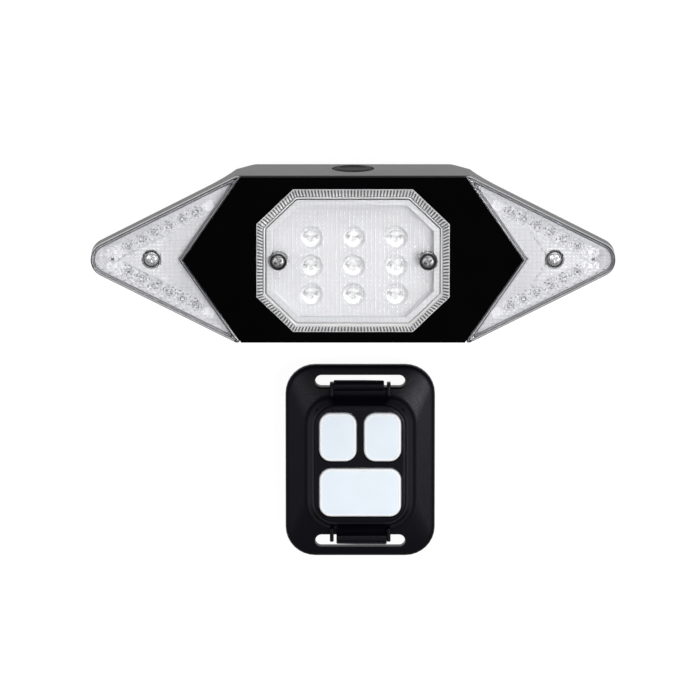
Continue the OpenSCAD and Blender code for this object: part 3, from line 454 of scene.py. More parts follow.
def clear(name, color, roughness, grain, depth, ior=1.49, uneven=(0.5, 1.5), strength=0.3):
    """Clear plastic that lets light through to what lies under it."""
    material, tree, shader = shader_of(name)
    fill(shader, Base_Color=(*color, 1), Transmission_Weight=1.0, IOR=ior)
    ripple = noise(tree, grain)
    tree.links.new(span(tree, ripple, *(roughness * share for share in uneven)), shader.inputs["Roughness"])
    relief(tree, shader, ripple, depth, strength)
    through, path = tree.nodes.new("ShaderNodeBsdfTransparent"), tree.nodes.new("ShaderNodeLightPath")
    fill(through, Color=(*color, 1))
    shadow = path.outputs["Is Shadow Ray"]
    mixed(tree, shadow, shader.outputs["BSDF"], through.outputs["BSDF"], "Material Output")
    return material


def circuit(name, color, trace, pitch, bend=0.45, edge=(0.06, 0.1), gloss=(0.3, 0.45), grain=0.8, depth=0.03):
    """Circuit board with lacquered traces."""
    material, tree, shader = shader_of(name)
    place, cells = tree.nodes.new("ShaderNodeTexCoord"), tree.nodes.new("ShaderNodeTexVoronoi")
    cells.feature = "DISTANCE_TO_EDGE"
    fill(cells, Scale=1 / (pitch * MM), Randomness=bend)
    tree.links.new(place.outputs["Object"], cells.inputs["Vector"])
    lines = cells.outputs["Distance"]
    tree.links.new(tint(tree, lines, trace, color, *edge), shader.inputs["Base Color"])
    tree.links.new(span(tree, noise(tree, grain), *gloss), shader.inputs["Roughness"])
    relief(tree, shader, lines, depth)
    return material


def gridded(name, color, line, pitch, width, dim=0.96, blur=0.3, gloss=(0.35, 0.5), grain=0.5, depth=-0.03):
    """White moulding with a fine square grid of shallow lines."""
    material, tree, shader = shader_of(name)
    place, grid = tree.nodes.new("ShaderNodeTexCoord"), tree.nodes.new("ShaderNodeTexBrick")
    grid.offset = 0.0
    fill(grid, Color1=(*color, 1), Color2=(*(c * dim for c in color), 1), Mortar=(*line, 1))
    fill(grid, Scale=1 / (pitch * MM), Mortar_Size=width, Mortar_Smooth=blur, Brick_Width=1, Row_Height=1)
    tree.links.new(place.outputs["Object"], grid.inputs["Vector"])
    tree.links.new(grid.outputs["Color"], shader.inputs["Base Color"])
    tree.links.new(span(tree, noise(tree, grain), *gloss), shader.inputs["Roughness"])
    relief(tree, shader, grid.outputs["Fac"], depth)
    return material


# Mouldings: colour, roughness, then grain, relief depth, spread of colour and patch size

grey_plastic = moulded("grey_plastic", (0.112, 0.112, 0.111), 0.5, 0.35, 0.03, 0.06)
black_plastic = moulded("black_plastic", (0.0006, 0.0006, 0.0007), 0.5, 0.4, 0.01, 0.3,
                        Specular_IOR_Level=0.01)
saddle_plastic = moulded("saddle_plastic", (0.014, 0.014, 0.015), 0.5, 0.3, 0.03, 0.15)
remote_plastic = moulded("remote_plastic", (0.0024, 0.0022, 0.0042), 0.32, 0.25, 0.006, 0.15,
                         Specular_IOR_Level=0.125, Specular_Tint=(0.93, 0.92, 1, 1))
seal_pale = moulded("seal_pale", (0.6, 0.6, 0.585), 0.6, 0.2, 0.02, 0.06)
seal_grey = moulded("seal_grey", (0.27, 0.27, 0.275), 0.6, 0.2, 0.02, 0.06)
seal_rubber = moulded("seal_rubber", (0.02, 0.02, 0.021), 0.75, 0.2, 0.03, 0.2)
pad_rubber = moulded("pad_rubber", (0.017, 0.017, 0.018), 0.72, 0.22, 0.04, 0.2, 6.0)
button_rubber = moulded("button_rubber", (0.0045, 0.0044, 0.006), 0.6, 0.2, 0.03, 0.2,
                        Specular_IOR_Level=0.16)
foam = moulded("foam", (0.05, 0.05, 0.055), 0.9, 0.5, 0.25, 0.35, 1.2)
# Lighter copy of the reflector moulding, given to its walls, LED dishes and windows as painted highlight
reflector_white = moulded("reflector_white", (0.68, 0.68, 0.695), 0.4, 0.4, 0.01, 0.03)
reflector_grid = gridded("reflector_grid", (0.55, 0.55, 0.56), (0.46, 0.46, 0.473), 1.25, 0.09)
ceramic = moulded("ceramic", (0.74, 0.74, 0.74), 0.4, 0.2, 0.01, 0.05)
package_resin = moulded("package_resin", (0.52, 0.52, 0.53), 0.25, 0.2, 0.01, 0.12, 0.8)
resin_grey = moulded("resin_grey", (0.2, 0.2, 0.207), 0.2, 0.15, 0.01, 0.15, 0.6)
phosphor = moulded("phosphor", (0.6, 0.6, 0.57), 0.3, 0.15, 0.01, 0.1, 0.6)
# Dark grey for the centre lens's screw well walls: painted shade
well_painted_shade = moulded("well_painted_shade", (0.1, 0.1, 0.102), 0.3, 0.2, 0.01, 0.2)
chip_resin = moulded("chip_resin", (0.02, 0.02, 0.021), 0.55, 0.12, 0.02, 0.25, 1.5)
ivory = moulded("ivory", (0.72, 0.68, 0.58), 0.4, 0.25, 0.015, 0.06)
sheath = moulded("sheath", (0.32, 0.03, 0.025), 0.5, 0.3, 0.02, 0.12, 3.0)
key_face = moulded("key_face", (0.81, 0.885, 0.955), 0.42, 0.3, 0.008, 0.02)
# Whiter copy of the key face for the keys' rounded rims: painted highlight
key_rim_painted_highlight = moulded("key_rim_painted_highlight", (0.93, 0.945, 0.96), 0.38, 0.3, 0.008, 0.02)

# Metals: colour, roughness, then stretch and size of the tool marks

steel = metal("steel", (0.36, 0.36, 0.365), 0.3)
# Lighter copy of the steel for the arrow lenses' screws: painted highlight
steel_painted_highlight = metal("steel_painted_highlight", (0.74, 0.74, 0.745), 0.25)
dull_steel = metal("dull_steel", (0.42, 0.42, 0.425), 0.4)
cell_steel = metal("cell_steel", (0.6, 0.6, 0.61), 0.28, (1, 8, 1))
brass = metal("brass", (0.75, 0.55, 0.25), 0.32)
foil = metal("foil", (0.55, 0.56, 0.58), 0.35, (1, 1, 1), 2.0)

# Clear plastics and circuit boards

# Dark-tinted clear plastic: painted shade on the lens rib valleys and on the arrow lenses' rims
painted_shade_clear = clear("painted_shade_clear", (0.06, 0.06, 0.075), 0.05, 1.5, 0.01)
lens_clear = clear("lens_clear", (0.985, 0.985, 0.99), 0.03, 1.5, 0.01)
led_clear = clear("led_clear", (0.985, 0.985, 0.985), 0.03, 0.8, 0.01, 1.4)
green_board = circuit("green_board", (0.01, 0.09, 0.035), (0.03, 0.17, 0.07), 2.2)
white_board = circuit("white_board", (0.8, 0.8, 0.8), (0.7, 0.71, 0.7), 2.6)

# CAD nodes that show as they are, with the radius of their edges

dress(["rear_housing"], grey_plastic, 0.6)
dress(["front_bezel"], black_plastic, 0.25)
dress(["mount_saddle"], saddle_plastic, 0.5)
dress(["remote_rear_cover"], remote_plastic, 0.35)
dress(["housing_gasket"], seal_grey, 0.1)
dress(["center_lens_gasket"], seal_pale, 0.1)
dress(["remote_seal"], seal_rubber, 0.1)
dress(["center_led_board", "left_led_board", "right_led_board"], white_board, 0.06)
dress(["main_board", "remote_board"], green_board, 0.06)
dress(["main_board_chips", "remote_chip"], chip_resin, 0.08)
dress(["power_switch", "left_switch", "right_switch", "lower_switch"], chip_resin, 0.08)
dress(["power_plunger", "left_plunger", "right_plunger", "lower_plunger"], ivory, 0.1)
dress(["battery"], foil, 0.4)
dress(["battery_leads", "center_board_leads", "left_arm_lead", "right_arm_lead"], sheath)
dress(["charging_socket"], dull_steel, 0.1)
dress(["coin_cell"], cell_steel, 0.25)
dress(["cell_contacts"], brass, 0.08)

# Centre lens: ribbed edge with painted shade in the rib valleys, window of small prisms, two screw wells with
# painted shade on their walls

LENS_CUT_X, LENS_CUT_Y = 10.5, 10.1
LENS_BEVEL, LENS_FOOT, LENS_WINDOW, LENS_STEP = 2.1, 2.8, 1.4, 0.35
LENS_SHARP = 20
RIB_PITCH, RIB_DEPTH = 0.96, 0.4
RIB_ROWS = ((0.0, 0.0), (0.1, 0.0), (0.2, 0.8), (0.5, 1.0), (0.8, 0.8), (0.9, 0.0), (1.0, 0.0))
RIB_CUTS = (0.0, 0.5, 1.0, 0.5)
# ribbed bands and the valley faces in them that take the painted shade
RIB_BANDS, RIB_VALLEY = (2, 3, 4, 5), (1, 2)
BOSS_R, BOSS_ROOT, BOSS_PLAY, SHANK_R = 2.6, 0.3, 0.2, 1.45
WELL_R, WELL_LIP, WELL_FLARE = 2.3, 0.1, 0.2
HEAD_H = 1.5
PRISM_PITCH, PRISM_DEPTH, PRISM_BORDER = 1.25, 0.12, 1.2
# The second and third lens materials are painted shade: in the centre screw wells, and on rib valleys and
# arrow rims
CLEAR, WELL_SHADE, SHADE_TINT = 0, 1, 2  # a lens's material numbers
LENS_MATERIALS = [lens_clear, well_painted_shade, painted_shade_clear]


def ribbed_frustum(points, z0, z1):
    """Solid with sloped sides of upright prism ribs, the faces of their valleys given painted shade."""
    top = inset(points, LENS_BEVEL)
    slope = Vector((z1 - z0, LENS_BEVEL)).normalized()
    rows = [(0.0, 0.0, z0)]
    rows += [(t, k, z0 + LENS_STEP + t * (z1 - z0 - LENS_STEP)) for t, k in RIB_ROWS]
    rings = [[] for row in rows]
    for i in range(len(points)):
        j = (i + 1) % len(points)
        side = points[j] - points[i]
        out = Vector((side.y, -side.x)).normalized()
        normal = Vector((out.x * slope.x, out.y * slope.x, slope.y))
        steps = round(side.length / RIB_PITCH) * len(RIB_CUTS)
        for ring, (t, k, z) in zip(rings, rows):
            a, b = points[i].lerp(top[i], t), points[j].lerp(top[j], t)
            for n in range(steps):
                p = a.lerp(b, n / steps)
                ring.append(Vector((p.x, p.y, z)) - normal * RIB_DEPTH * k * RIB_CUTS[n % len(RIB_CUTS)])
    bm, around = loft(rings), len(rings[0])
    bm.faces.ensure_lookup_table()
    for band in RIB_BANDS:
        for n in range(around):
            if n % len(RIB_CUTS) in RIB_VALLEY:
                bm.faces[band * around + n].material_index = SHADE_TINT
    return bm


def prism_block(points, z0, z1, pitch, fields):
    """Solid over an outline, its top set with small pyramids, as deep as the last field around them says."""
    lo = Vector([min(p[i] for p in points) - pitch for i in range(2)])
    hi = Vector([max(p[i] for p in points) + pitch for i in range(2)])
    nx, ny = (math.ceil((hi[i] - lo[i]) / pitch) for i in range(2))
    bm = bmesh.new()
    spots = [[lo + Vector((i * pitch, j * pitch)) for j in range(ny + 1)] for i in range(nx + 1)]
    grid = [[bm.verts.new((p.x, p.y, z1)) for p in column] for column in spots]
    for i in range(nx):
        for j in range(ny):
            ring = ((i, j), (i + 1, j), (i + 1, j + 1), (i, j + 1))
            corners = [grid[a][b] for a, b in ring]
            depth = 0
            for field, field_depth in fields:
                if all(within(spots[a][b], field) for a, b in ring):
                    depth = field_depth
            if depth:
                centre = spots[i][j] + Vector((pitch / 2, pitch / 2))
                peak = bm.verts.new((centre.x, centre.y, z1 + depth))
                for n in range(4):
                    bm.faces.new((corners[n], corners[(n + 1) % 4], peak))
            else:
                bm.faces.new(corners)
    rim = [grid[i][0] for i in range(nx)] + [grid[nx][j] for j in range(ny)]
    rim += [grid[i][ny] for i in range(nx, 0, -1)] + [grid[0][j] for j in range(ny, 0, -1)]
    floor = [bm.verts.new((v.co.x, v.co.y, z0)) for v in rim]
    for n in range(len(rim)):
        m = (n + 1) % len(rim)
        bm.faces.new((floor[n], floor[m], rim[m], rim[n]))
    bm.faces.new(floor[::-1])
    return carve(slab(points, z0 - OVERCUT, z1 + pitch), bm, "INTERSECT")


def boss_and_well(lens, x, y, foot_z, window_z, seat_z, top_z, mark):
    """Lens with a screw tube under it and an open well above its seat."""
    lens = carve(lens, put(rod(BOSS_R, foot_z, window_z + BOSS_ROOT), x, y), "UNION")
    start_z, lip_z = foot_z - OVERCUT, top_z + WELL_LIP
    hole = turned([(0, start_z), (SHANK_R, start_z), (SHANK_R, seat_z), (WELL_R, seat_z),
                   (WELL_R, top_z - WELL_LIP), (WELL_R + WELL_FLARE, lip_z), (0, lip_z)])
    return carve(lens, paint(put(hole, x, y), mark))


lens_lo, lens_hi = box_mm("center_lens", LAMP)
lens_base = box_mm("center_lens_gasket", LAMP)[1].z + LIFT
lens_plan = octagon(lens_hi.x - lens_lo.x, lens_hi.y - lens_lo.y, LENS_CUT_X, LENS_CUT_Y)
window_z = lens_hi.z - LENS_WINDOW
prisms = [(inset(lens_plan, LENS_FOOT + PRISM_BORDER), PRISM_DEPTH)]
hollow = prism_block(inset(lens_plan, LENS_FOOT), lens_base - OVERCUT, window_z, PRISM_PITCH, prisms)
lens = carve(ribbed_frustum(lens_plan, lens_base, lens_hi.z), hollow)
# the centre wells' walls and seats get painted shade
for lo, hi in solids("center_lens_screws", LAMP):
    lens = boss_and_well(lens, *mid(lo, hi), lens_lo.z, window_z, hi.z - HEAD_H, lens_hi.z, WELL_SHADE)
piece("center_lens_clear", lens, LAMP, "lamp_body", LENS_MATERIALS, ["center_lens"], LENS_SHARP)

# Arrow lenses

ARROW_WALL, ARROW_WINDOW, ARROW_PITCH = 1.0, 1.0, 1.05
ARROW_TOP = ((0.0, 0.3), (0.09, 0.09), (0.3, 0.0), (0.6, 0.0), (0.75, 0.25), (0.9, 0.0))
# bands of the arrow lens's rim given painted shade as a dark outline
ARROW_MARKS = (SHADE_TINT, SHADE_TINT, SHADE_TINT, CLEAR, CLEAR, SHADE_TINT)
STRIP_IN, STRIP_DEPTH = 1.4, 0.28
MIDDLE_IN, MIDDLE_DEPTH = 6.2, 0.18


def arrow_screw(name):
    """Distance of an arrow's screw from the middle of the lamp, and the level of its top."""
    lo, hi = box_mm(f"{name}_lens_screw", LAMP)
    return abs(lo.x + hi.x) / 2, hi.z


for side, name in SIDES:
    foot = box_mm(f"{name}_arrow_lens", LAMP)[0].z
    screw_x, screw_z = arrow_screw(name)
    window = FACE_Z - ARROW_WINDOW
    rings = [level(arrow(0), COVER_Z + LIFT)]
    rings += [level(arrow(d), FACE_Z - drop) for d, drop in ARROW_TOP]
    prisms = [(arrow(STRIP_IN), STRIP_DEPTH), (arrow(MIDDLE_IN), MIDDLE_DEPTH)]
    hollow = prism_block(arrow(ARROW_WALL), COVER_Z - OVERCUT, window, ARROW_PITCH, prisms)
    lens = carve(loft(rings, ARROW_MARKS), hollow)
    lens = boss_and_well(lens, screw_x, 0, foot, window, screw_z - HEAD_H, FACE_Z, CLEAR)
    lens.transform(Matrix.Scale(side, 4, (1, 0, 0)))
    piece(f"{name}_arrow_lens_clear", lens, LAMP, "lamp_body", LENS_MATERIALS,
          [f"{name}_arrow_lens"], LENS_SHARP)

# Centre reflector with its raised rim, its tray walls, LED dishes and screw holes given a lighter copy as
# painted highlight

REFLECTOR_GAP, REFLECTOR_RIM, RIM_CLEAR = 2.84, 1.6, 0.5
REFLECTOR_ROUND, TRAY_ROUND = 0.1, 0.5
LED_HOLE_R, LED_DISH_R, DISH_DEPTH = 2.7, 3.6, 1.0
# the second reflector material is a lighter copy of the first: painted highlight
GRID, PAINTED_HIGHLIGHT = 0, 1  # a reflector's material numbers
REFLECTOR_MATERIALS = [reflector_grid, reflector_white]

reflector_lo, reflector_hi = box_mm("center_reflector", LAMP)
reflector_plan = inset(lens_plan, REFLECTOR_GAP)
reflector = slab(reflector_plan, reflector_lo.z, window_z - RIM_CLEAR, REFLECTOR_ROUND)
tray_plan = inset(reflector_plan, REFLECTOR_RIM)
tray = paint(slab(tray_plan, reflector_hi.z, window_z, 0.0, TRAY_ROUND), PAINTED_HIGHLIGHT)
# the tray's floor keeps the grid; its walls keep the painted highlight
for face in tray.faces:
    if face.calc_center_median().z < reflector_hi.z + LIFT:
        face.material_index = GRID
reflector = carve(reflector, tray)
start_z, dish_z = reflector_lo.z - OVERCUT, reflector_hi.z + LIFT / 2
led_boxes = solids("center_leds", LAMP)
holes = []
for lo, hi in led_boxes:
    hole = turned([(0, start_z), (LED_HOLE_R, start_z), (LED_HOLE_R, reflector_hi.z - DISH_DEPTH),
                   (LED_DISH_R, dish_z), (0, dish_z)])
    holes.append(put(hole, *mid(lo, hi)))
for lo, hi in solids("center_lens_screws", LAMP):
    holes.append(put(rod(BOSS_R + BOSS_PLAY, start_z, window_z), *mid(lo, hi)))
reflector = carve(reflector, paint(together(holes), PAINTED_HIGHLIGHT))
piece("center_reflector_moulded", reflector, LAMP, "lamp_body", REFLECTOR_MATERIALS,
      ["center_reflector"])

# Round LEDs: a clear bulb over a lead frame with cup and die, measured down from the top

LED_FLANGE, LED_TAPER, LED_STEP, LED_SIDES = 0.9, 0.94, 0.1, 32
LED_DOME, DOME_STEPS = 1.3, 8
LEAD_T, LEAD_R, LEAD_FOOT = 0.5, 0.1, 0.1
ANVIL_W, ANVIL_X, ANVIL_DROP = 1.3, -0.35, 2.0
CUP = ((0, 2.0), (0.6, 2.0), (0.95, 1.4), (0.8, 1.4), (0.45, 1.8), (0, 1.8))
CUP_X, CUP_SIDES = -0.1, 20
WIRE_X, WIRE_DROP = 1.05, 1.6
DIE_W, DIE_R, DIE_FOOT, DIE_DROP = 0.5, 0.05, 1.85, 1.6


def dropped(profile, h):
    """Profile whose levels are given as depths under a height."""
    return [(r, h - drop) for r, drop in profile]


def round_led(r, h):
    """Clear LED with its inner parts, its foot at the origin."""
    neck = r * LED_TAPER
    turns = [math.pi / 2 * i / DOME_STEPS for i in range(DOME_STEPS)]
    outline = [(0, 0), (r, 0), (r, LED_FLANGE), (neck, LED_FLANGE + LED_STEP)]
    outline += [(neck * math.cos(a), h - LED_DOME + LED_DOME * math.sin(a)) for a in turns] + [(0, h)]
    anvil = slab(moved(round_rect(ANVIL_W, LEAD_T, LEAD_R, 2), ANVIL_X, 0), LEAD_FOOT, h - ANVIL_DROP)
    cup = put(turned(dropped(CUP, h), CUP_SIDES), CUP_X)
    wire = slab(moved(round_rect(LEAD_T, LEAD_T, LEAD_R, 2), WIRE_X, 0), LEAD_FOOT, h - WIRE_DROP)
    die = slab(round_rect(DIE_W, DIE_W, DIE_R, 2), h - DIE_FOOT, h - DIE_DROP)
    metal_parts = [paint(part, 1) for part in (anvil, cup, wire)]
    return together([turned(outline, LED_SIDES)] + metal_parts + [paint(die, 2)])


parts = []
for lo, hi in led_boxes:
    led = round_led((hi.x - lo.x) / 2, hi.z - lo.z - LIFT)
    parts.append(put(led, *mid(lo, hi), lo.z + LIFT))
piece("center_leds_clear", together(parts), LAMP, "lamp_body", [led_clear, ceramic, phosphor],
      ["center_leds"])

# Flat LEDs of the arrows: a package with a bowl of gel over its die, measured down from the top

PACKAGE_L, PACKAGE_W, PACKAGE_R, PACKAGE_RIM = 2.8, 2.4, 0.2, 0.12
BOWL = ((0, 0.45), (0.75, 0.45), (1.0, -0.05), (0, -0.05))
GEL = ((0, 0.5), (0.8, 0.5), (0.86, 0.3), (0, 0.2))
BOWL_SIDES = 24
CHIP_W, CHIP_R, CHIP_FOOT, CHIP_DROP = 0.7, 0.08, 0.3, 0.12


def flat_led(h):
    """Flat LED package, its foot at the origin."""
    shell = slab(round_rect(PACKAGE_L, PACKAGE_W, PACKAGE_R, 3), 0, h, PACKAGE_RIM, 0.0, 2)
    shell = carve(shell, turned(dropped(BOWL, h), BOWL_SIDES))
    gel = paint(turned(dropped(GEL, h), BOWL_SIDES), 1)
    die = paint(slab(round_rect(CHIP_W, CHIP_W, CHIP_R, 2), h - CHIP_FOOT, h - CHIP_DROP), 2)
    return together([shell, gel, die])


for side, name in SIDES:
    parts = []
    for lo, hi in solids(f"{name}_leds", LAMP):
        centre = (lo + hi) / 2
        drop = math.degrees(EDGE_DROP) * side * (-1 if centre.y > 0 else 1)
        parts.append(put(flat_led(hi.z - lo.z), centre.x, centre.y, lo.z, spin(drop, "Z")))
    piece(f"{name}_leds_ceramic", together(parts), LAMP, "lamp_body",
          [package_resin, resin_grey, ceramic], [f"{name}_leds"])

# Arrow reflectors: a brim with a flared window round each LED, and a raised middle; windows, end facets and
# screw hole given a lighter copy as painted highlight

BRIM_IN, BRIM_T, BRIM_ROUND = 1.15, 0.45, 0.1
WINDOW_PLAY, WINDOW_FLARE, WINDOW_R, FLARE_SHARE = 0.2, 0.4, 0.3, 0.6
FACET_FOOT, FACET_R, FACET_DEPTH = 0.6, 0.1, 0.35
STEP_RISE, STEP_ROUND = 0.45, 0.3


def led_window(foot, top):
    """Cutter for the window of an LED."""
    rows = ((WINDOW_PLAY, foot), (WINDOW_PLAY, top - BRIM_T * FLARE_SHARE),
            (WINDOW_PLAY + WINDOW_FLARE, top + LIFT))
    return loft([level(round_rect(PACKAGE_L + 2 * grow, PACKAGE_W + 2 * grow, WINDOW_R, 3), z)
                 for grow, z in rows])


def blind_facet(top):
    """Cutter for the shallow facet at the end of a row of windows."""
    mouth = round_rect(PACKAGE_L + WINDOW_FLARE, PACKAGE_W + WINDOW_FLARE, WINDOW_R, 3)
    foot = round_rect(FACET_FOOT, FACET_FOOT, FACET_R, 3)
    return loft([level(foot, top - FACET_DEPTH), level(mouth, top + LIFT)])


for side, name in SIDES:
    foot = box_mm(f"{name}_reflector", LAMP)[0].z
    top = COVER_Z + LIFT + BRIM_T
    plate = slab(arrow(BRIM_IN), COVER_Z + LIFT, top, BRIM_ROUND)
    plate = carve(plate, slab(arrow(MIDDLE_IN), foot, top + STEP_RISE, STEP_ROUND), "UNION")
    tools = []
    for s in (1, -1):
        row = [(lo + hi) / 2 for lo, hi in solids(f"{name}_leds", LAMP) if (lo.y + hi.y) * s > 0]
        row.sort(key=lambda centre: abs(centre.x))
        turn = spin(-s * math.degrees(EDGE_DROP), "Z")
        for centre in row:
            tools.append(put(led_window(foot, top), abs(centre.x), centre.y, 0, turn))
        end = row[0] * 2 - row[1]
        tools.append(put(blind_facet(top), abs(end.x), end.y, 0, turn))
    tools.append(put(rod(BOSS_R + BOSS_PLAY, foot - OVERCUT, top + OVERCUT), arrow_screw(name)[0]))
    plate = carve(plate, paint(together(tools), PAINTED_HIGHLIGHT))
    plate.transform(Matrix.Scale(side, 4, (1, 0, 0)))
    piece(f"{name}_reflector_plate", plate, LAMP, "lamp_body", REFLECTOR_MATERIALS,
          [f"{name}_reflector"])

# Screws, their shapes in shares of the head and the shank

SCREW_R, SMALL_HEAD_H, SMALL_SCREW_R, SCREW_SIDES, SCREW_TURN = 1.25, 0.9, 0.85, 36, 25
THREAD_PITCH, THREAD_START, THREAD_END = 0.7, 0.5, 0.6
POINT_SHARE, ROOT_SHARE, CREST_SHARE = 0.5, 0.8, 0.4
HEAD = ((0.97, 0.0), (1.0, 0.1), (1.0, 0.45), (0.93, 0.75), (0.75, 0.92), (0.5, 1.0), (0.0, 1.0))
CROSS_L, CROSS_W, CROSS_R = 1.25, 0.34, 0.05
CROSS_RINGS = ((0.6, 0.84, 0.35), (1.0, 1.0, 1.1))


def pan_screw(lo, hi, head_h, shank_r, up):
    """Pan-head screw with a cross recess and a threaded shank, in the box of its solid."""
    head_r, length = (hi.x - lo.x) / 2, hi.z - lo.z - head_h
    profile = [(0, -length), (shank_r * POINT_SHARE, -length)]
    for i in range(int((length - THREAD_END) / THREAD_PITCH)):
        z = THREAD_START - length + i * THREAD_PITCH
        profile += [(shank_r * ROOT_SHARE, z), (shank_r, z + THREAD_PITCH * CREST_SHARE)]
    profile += [(shank_r * ROOT_SHARE, 0)] + [(head_r * r, head_h * z) for r, z in HEAD]
    body = turned(profile, SCREW_SIDES)
    for w, h in ((head_r * CROSS_L, head_r * CROSS_W), (head_r * CROSS_W, head_r * CROSS_L)):
        body = carve(body, loft([level(round_rect(w * x, h * y, CROSS_R, 2), head_h * z)
                                 for x, y, z in CROSS_RINGS]))
    seat = hi.z - head_h if up else lo.z + head_h
    return put(body, *mid(lo, hi), seat, spin(SCREW_TURN, "Z") if up else spin(180, "X"))


for node, origin, body, head_h, shank_r, up, alloy in (
    ("center_lens_screws", LAMP, "lamp_body", HEAD_H, SCREW_R, True, steel),
    # the arrow lenses' screws take the lighter steel as painted highlight
    ("left_lens_screw", LAMP, "lamp_body", HEAD_H, SCREW_R, True, steel_painted_highlight),
    ("right_lens_screw", LAMP, "lamp_body", HEAD_H, SCREW_R, True, steel_painted_highlight),
    ("housing_screws", LAMP, "lamp_body", HEAD_H, SCREW_R, False, steel),
    ("saddle_screws", LAMP, "lamp_body", HEAD_H, SCREW_R, False, steel),
    ("main_board_screws", LAMP, "lamp_body", SMALL_HEAD_H, SMALL_SCREW_R, True, steel),
    ("remote_screws", REMOTE, "remote_body", SMALL_HEAD_H, SMALL_SCREW_R, False, steel),
):
    made = [pan_screw(lo, hi, head_h, shank_r, up) for lo, hi in solids(node, origin)]
    piece(f"{node}_cross", together(made), origin, body, [alloy], [node])

# Remote: top cover with its platform, slots and key holes

PLATE_T, PLATE_R = 4.0, 8.6
PLATFORM_W, PLATFORM_H, PLATFORM_R = 26.4, 34.4, 6.0
SLOT_L, SLOT_W, SLOT_LAND = 26.0, 3.5, 2.9
SLOT_FLARE, SLOT_MOUTH, SLOT_DROP = 0.45, 0.9, 0.35
ROOF_T, INSIDE_W, INSIDE_H, INSIDE_R = 1.5, 25.2, 32.1, 0.3
KEY_R, KEY_GAP, KEY_FLANGE, FLANGE_T = 3.3, 0.25, 0.6, 0.8
KEY_FLARE, KEY_MOUTH = 0.22, 0.3
SEAL_WALL, SEAL_W, SEAL_H = 0.7, 1.2, 0.8
PILOT_R, PILOT_DEEP, PILOT_SIDES = 1.0, 0.2, 16
EASE_OUT, EASE_UP = 0.35, 0.4
PLATE_RINGS = ((0.5, 0.0), (0.15, 0.15), (0.0, 0.6), (0.0, 1.5),
               (0.1, 1.95), (0.4, 2.35), (0.9, 2.6), (1.5, 2.78))
PLATFORM_RINGS = ((3.3, 0.05), (2.7, 0.2), (1.9, 0.85), (0.95, 2.7),
                  (0.4, 3.75), (0.12, 4.12), (-0.25, 4.34), (-0.8, 4.4))
COVER_SHARP = 28


def inside_plan(grow):
    """Outline of the remote's inside, widened all round."""
    return round_rect(INSIDE_W + 2 * grow, INSIDE_H + 2 * grow, INSIDE_R)


def flared(points, z0, z1, flare, mouth):
    """Cutter whose mouth widens towards its upper end."""
    eased, wide = inset(points, -flare * EASE_OUT), inset(points, -flare)
    return loft([level(points, z0), level(points, z1 - mouth), level(eased, z1 - mouth * EASE_UP),
                 level(wide, z1), level(wide, z1 + 2 * OVERCUT)])


cover_lo, cover_hi = box_mm("remote_top_cover", REMOTE)
plate_w, plate_h = (cover_hi - cover_lo).xy
plate_top, roof_z = cover_lo.z + PLATE_T, cover_hi.z - ROOF_T
rings = [level(round_rect(plate_w - 2 * d, plate_h - 2 * d, PLATE_R - d), cover_lo.z + z)
         for d, z in PLATE_RINGS]
rings += [level(round_rect(PLATFORM_W + 2 * g, PLATFORM_H + 2 * g, PLATFORM_R + g), plate_top + z)
          for g, z in PLATFORM_RINGS]
start_z = cover_lo.z - OVERCUT
cover = carve(loft(rings), slab(inside_plan(0), start_z, roof_z))
slot_y = plate_h / 2 - SLOT_LAND - SLOT_W / 2
slot = pill(SLOT_L, SLOT_W)
tools = [flared(moved(slot, 0, s * slot_y), start_z, plate_top - SLOT_DROP, SLOT_FLARE, SLOT_MOUTH)
         for s in (1, -1)]
keys = {}
for name in ("left", "right", "lower"):
    lo, hi = box_mm(f"{name}_key", REMOTE)
    centre, size = (lo + hi) / 2, hi - lo
    w, h = size.x - 2 * KEY_FLANGE, size.y - 2 * KEY_FLANGE
    keys[name] = (centre.x, centre.y, w, h, lo.z, hi.z)
    hole = moved(round_rect(w + 2 * KEY_GAP, h + 2 * KEY_GAP, KEY_R + KEY_GAP), centre.x, centre.y)
    tools.append(flared(hole, roof_z - OVERCUT, cover_hi.z + LIFT, KEY_FLARE, KEY_MOUTH))
for lo, hi in solids("remote_screws", REMOTE):
    centre = (lo + hi) / 2
    tools.append(put(rod(PILOT_R, start_z, hi.z + PILOT_DEEP, PILOT_SIDES), centre.x, centre.y))
for tool in tools:
    cover = carve(cover, tool)
seal_z = cover_lo.z + SEAL_H
channel = slab(inside_plan(SEAL_WALL + SEAL_W), start_z, seal_z)
channel = carve(channel, slab(inside_plan(SEAL_WALL), start_z - OVERCUT, seal_z + OVERCUT))
cover = carve(cover, channel)

# Hook bars beside the slots, each on a web between two ears

HOOK_R, HOOK_L, HOOK_GAP, HOOK_SIDES = 1.6, 15.4, 0.8, 40
BAR_START, BAR_CHAMFER, BAR_STRAIGHT = 0.85, 0.25, 0.6
BAR_NECK, BAR_NECK_L, BAR_END = 0.94, 0.3, 0.8
WEB_SHORT, WEB_R, WEB_SINK, WEB_ROUND = 0.4, 0.2, 1.4, 0.1
EAR_T, EAR_L, EAR_BACK, EAR_SINK, EAR_R = 1.1, 2.5, 0.75, 1.2, 0.3

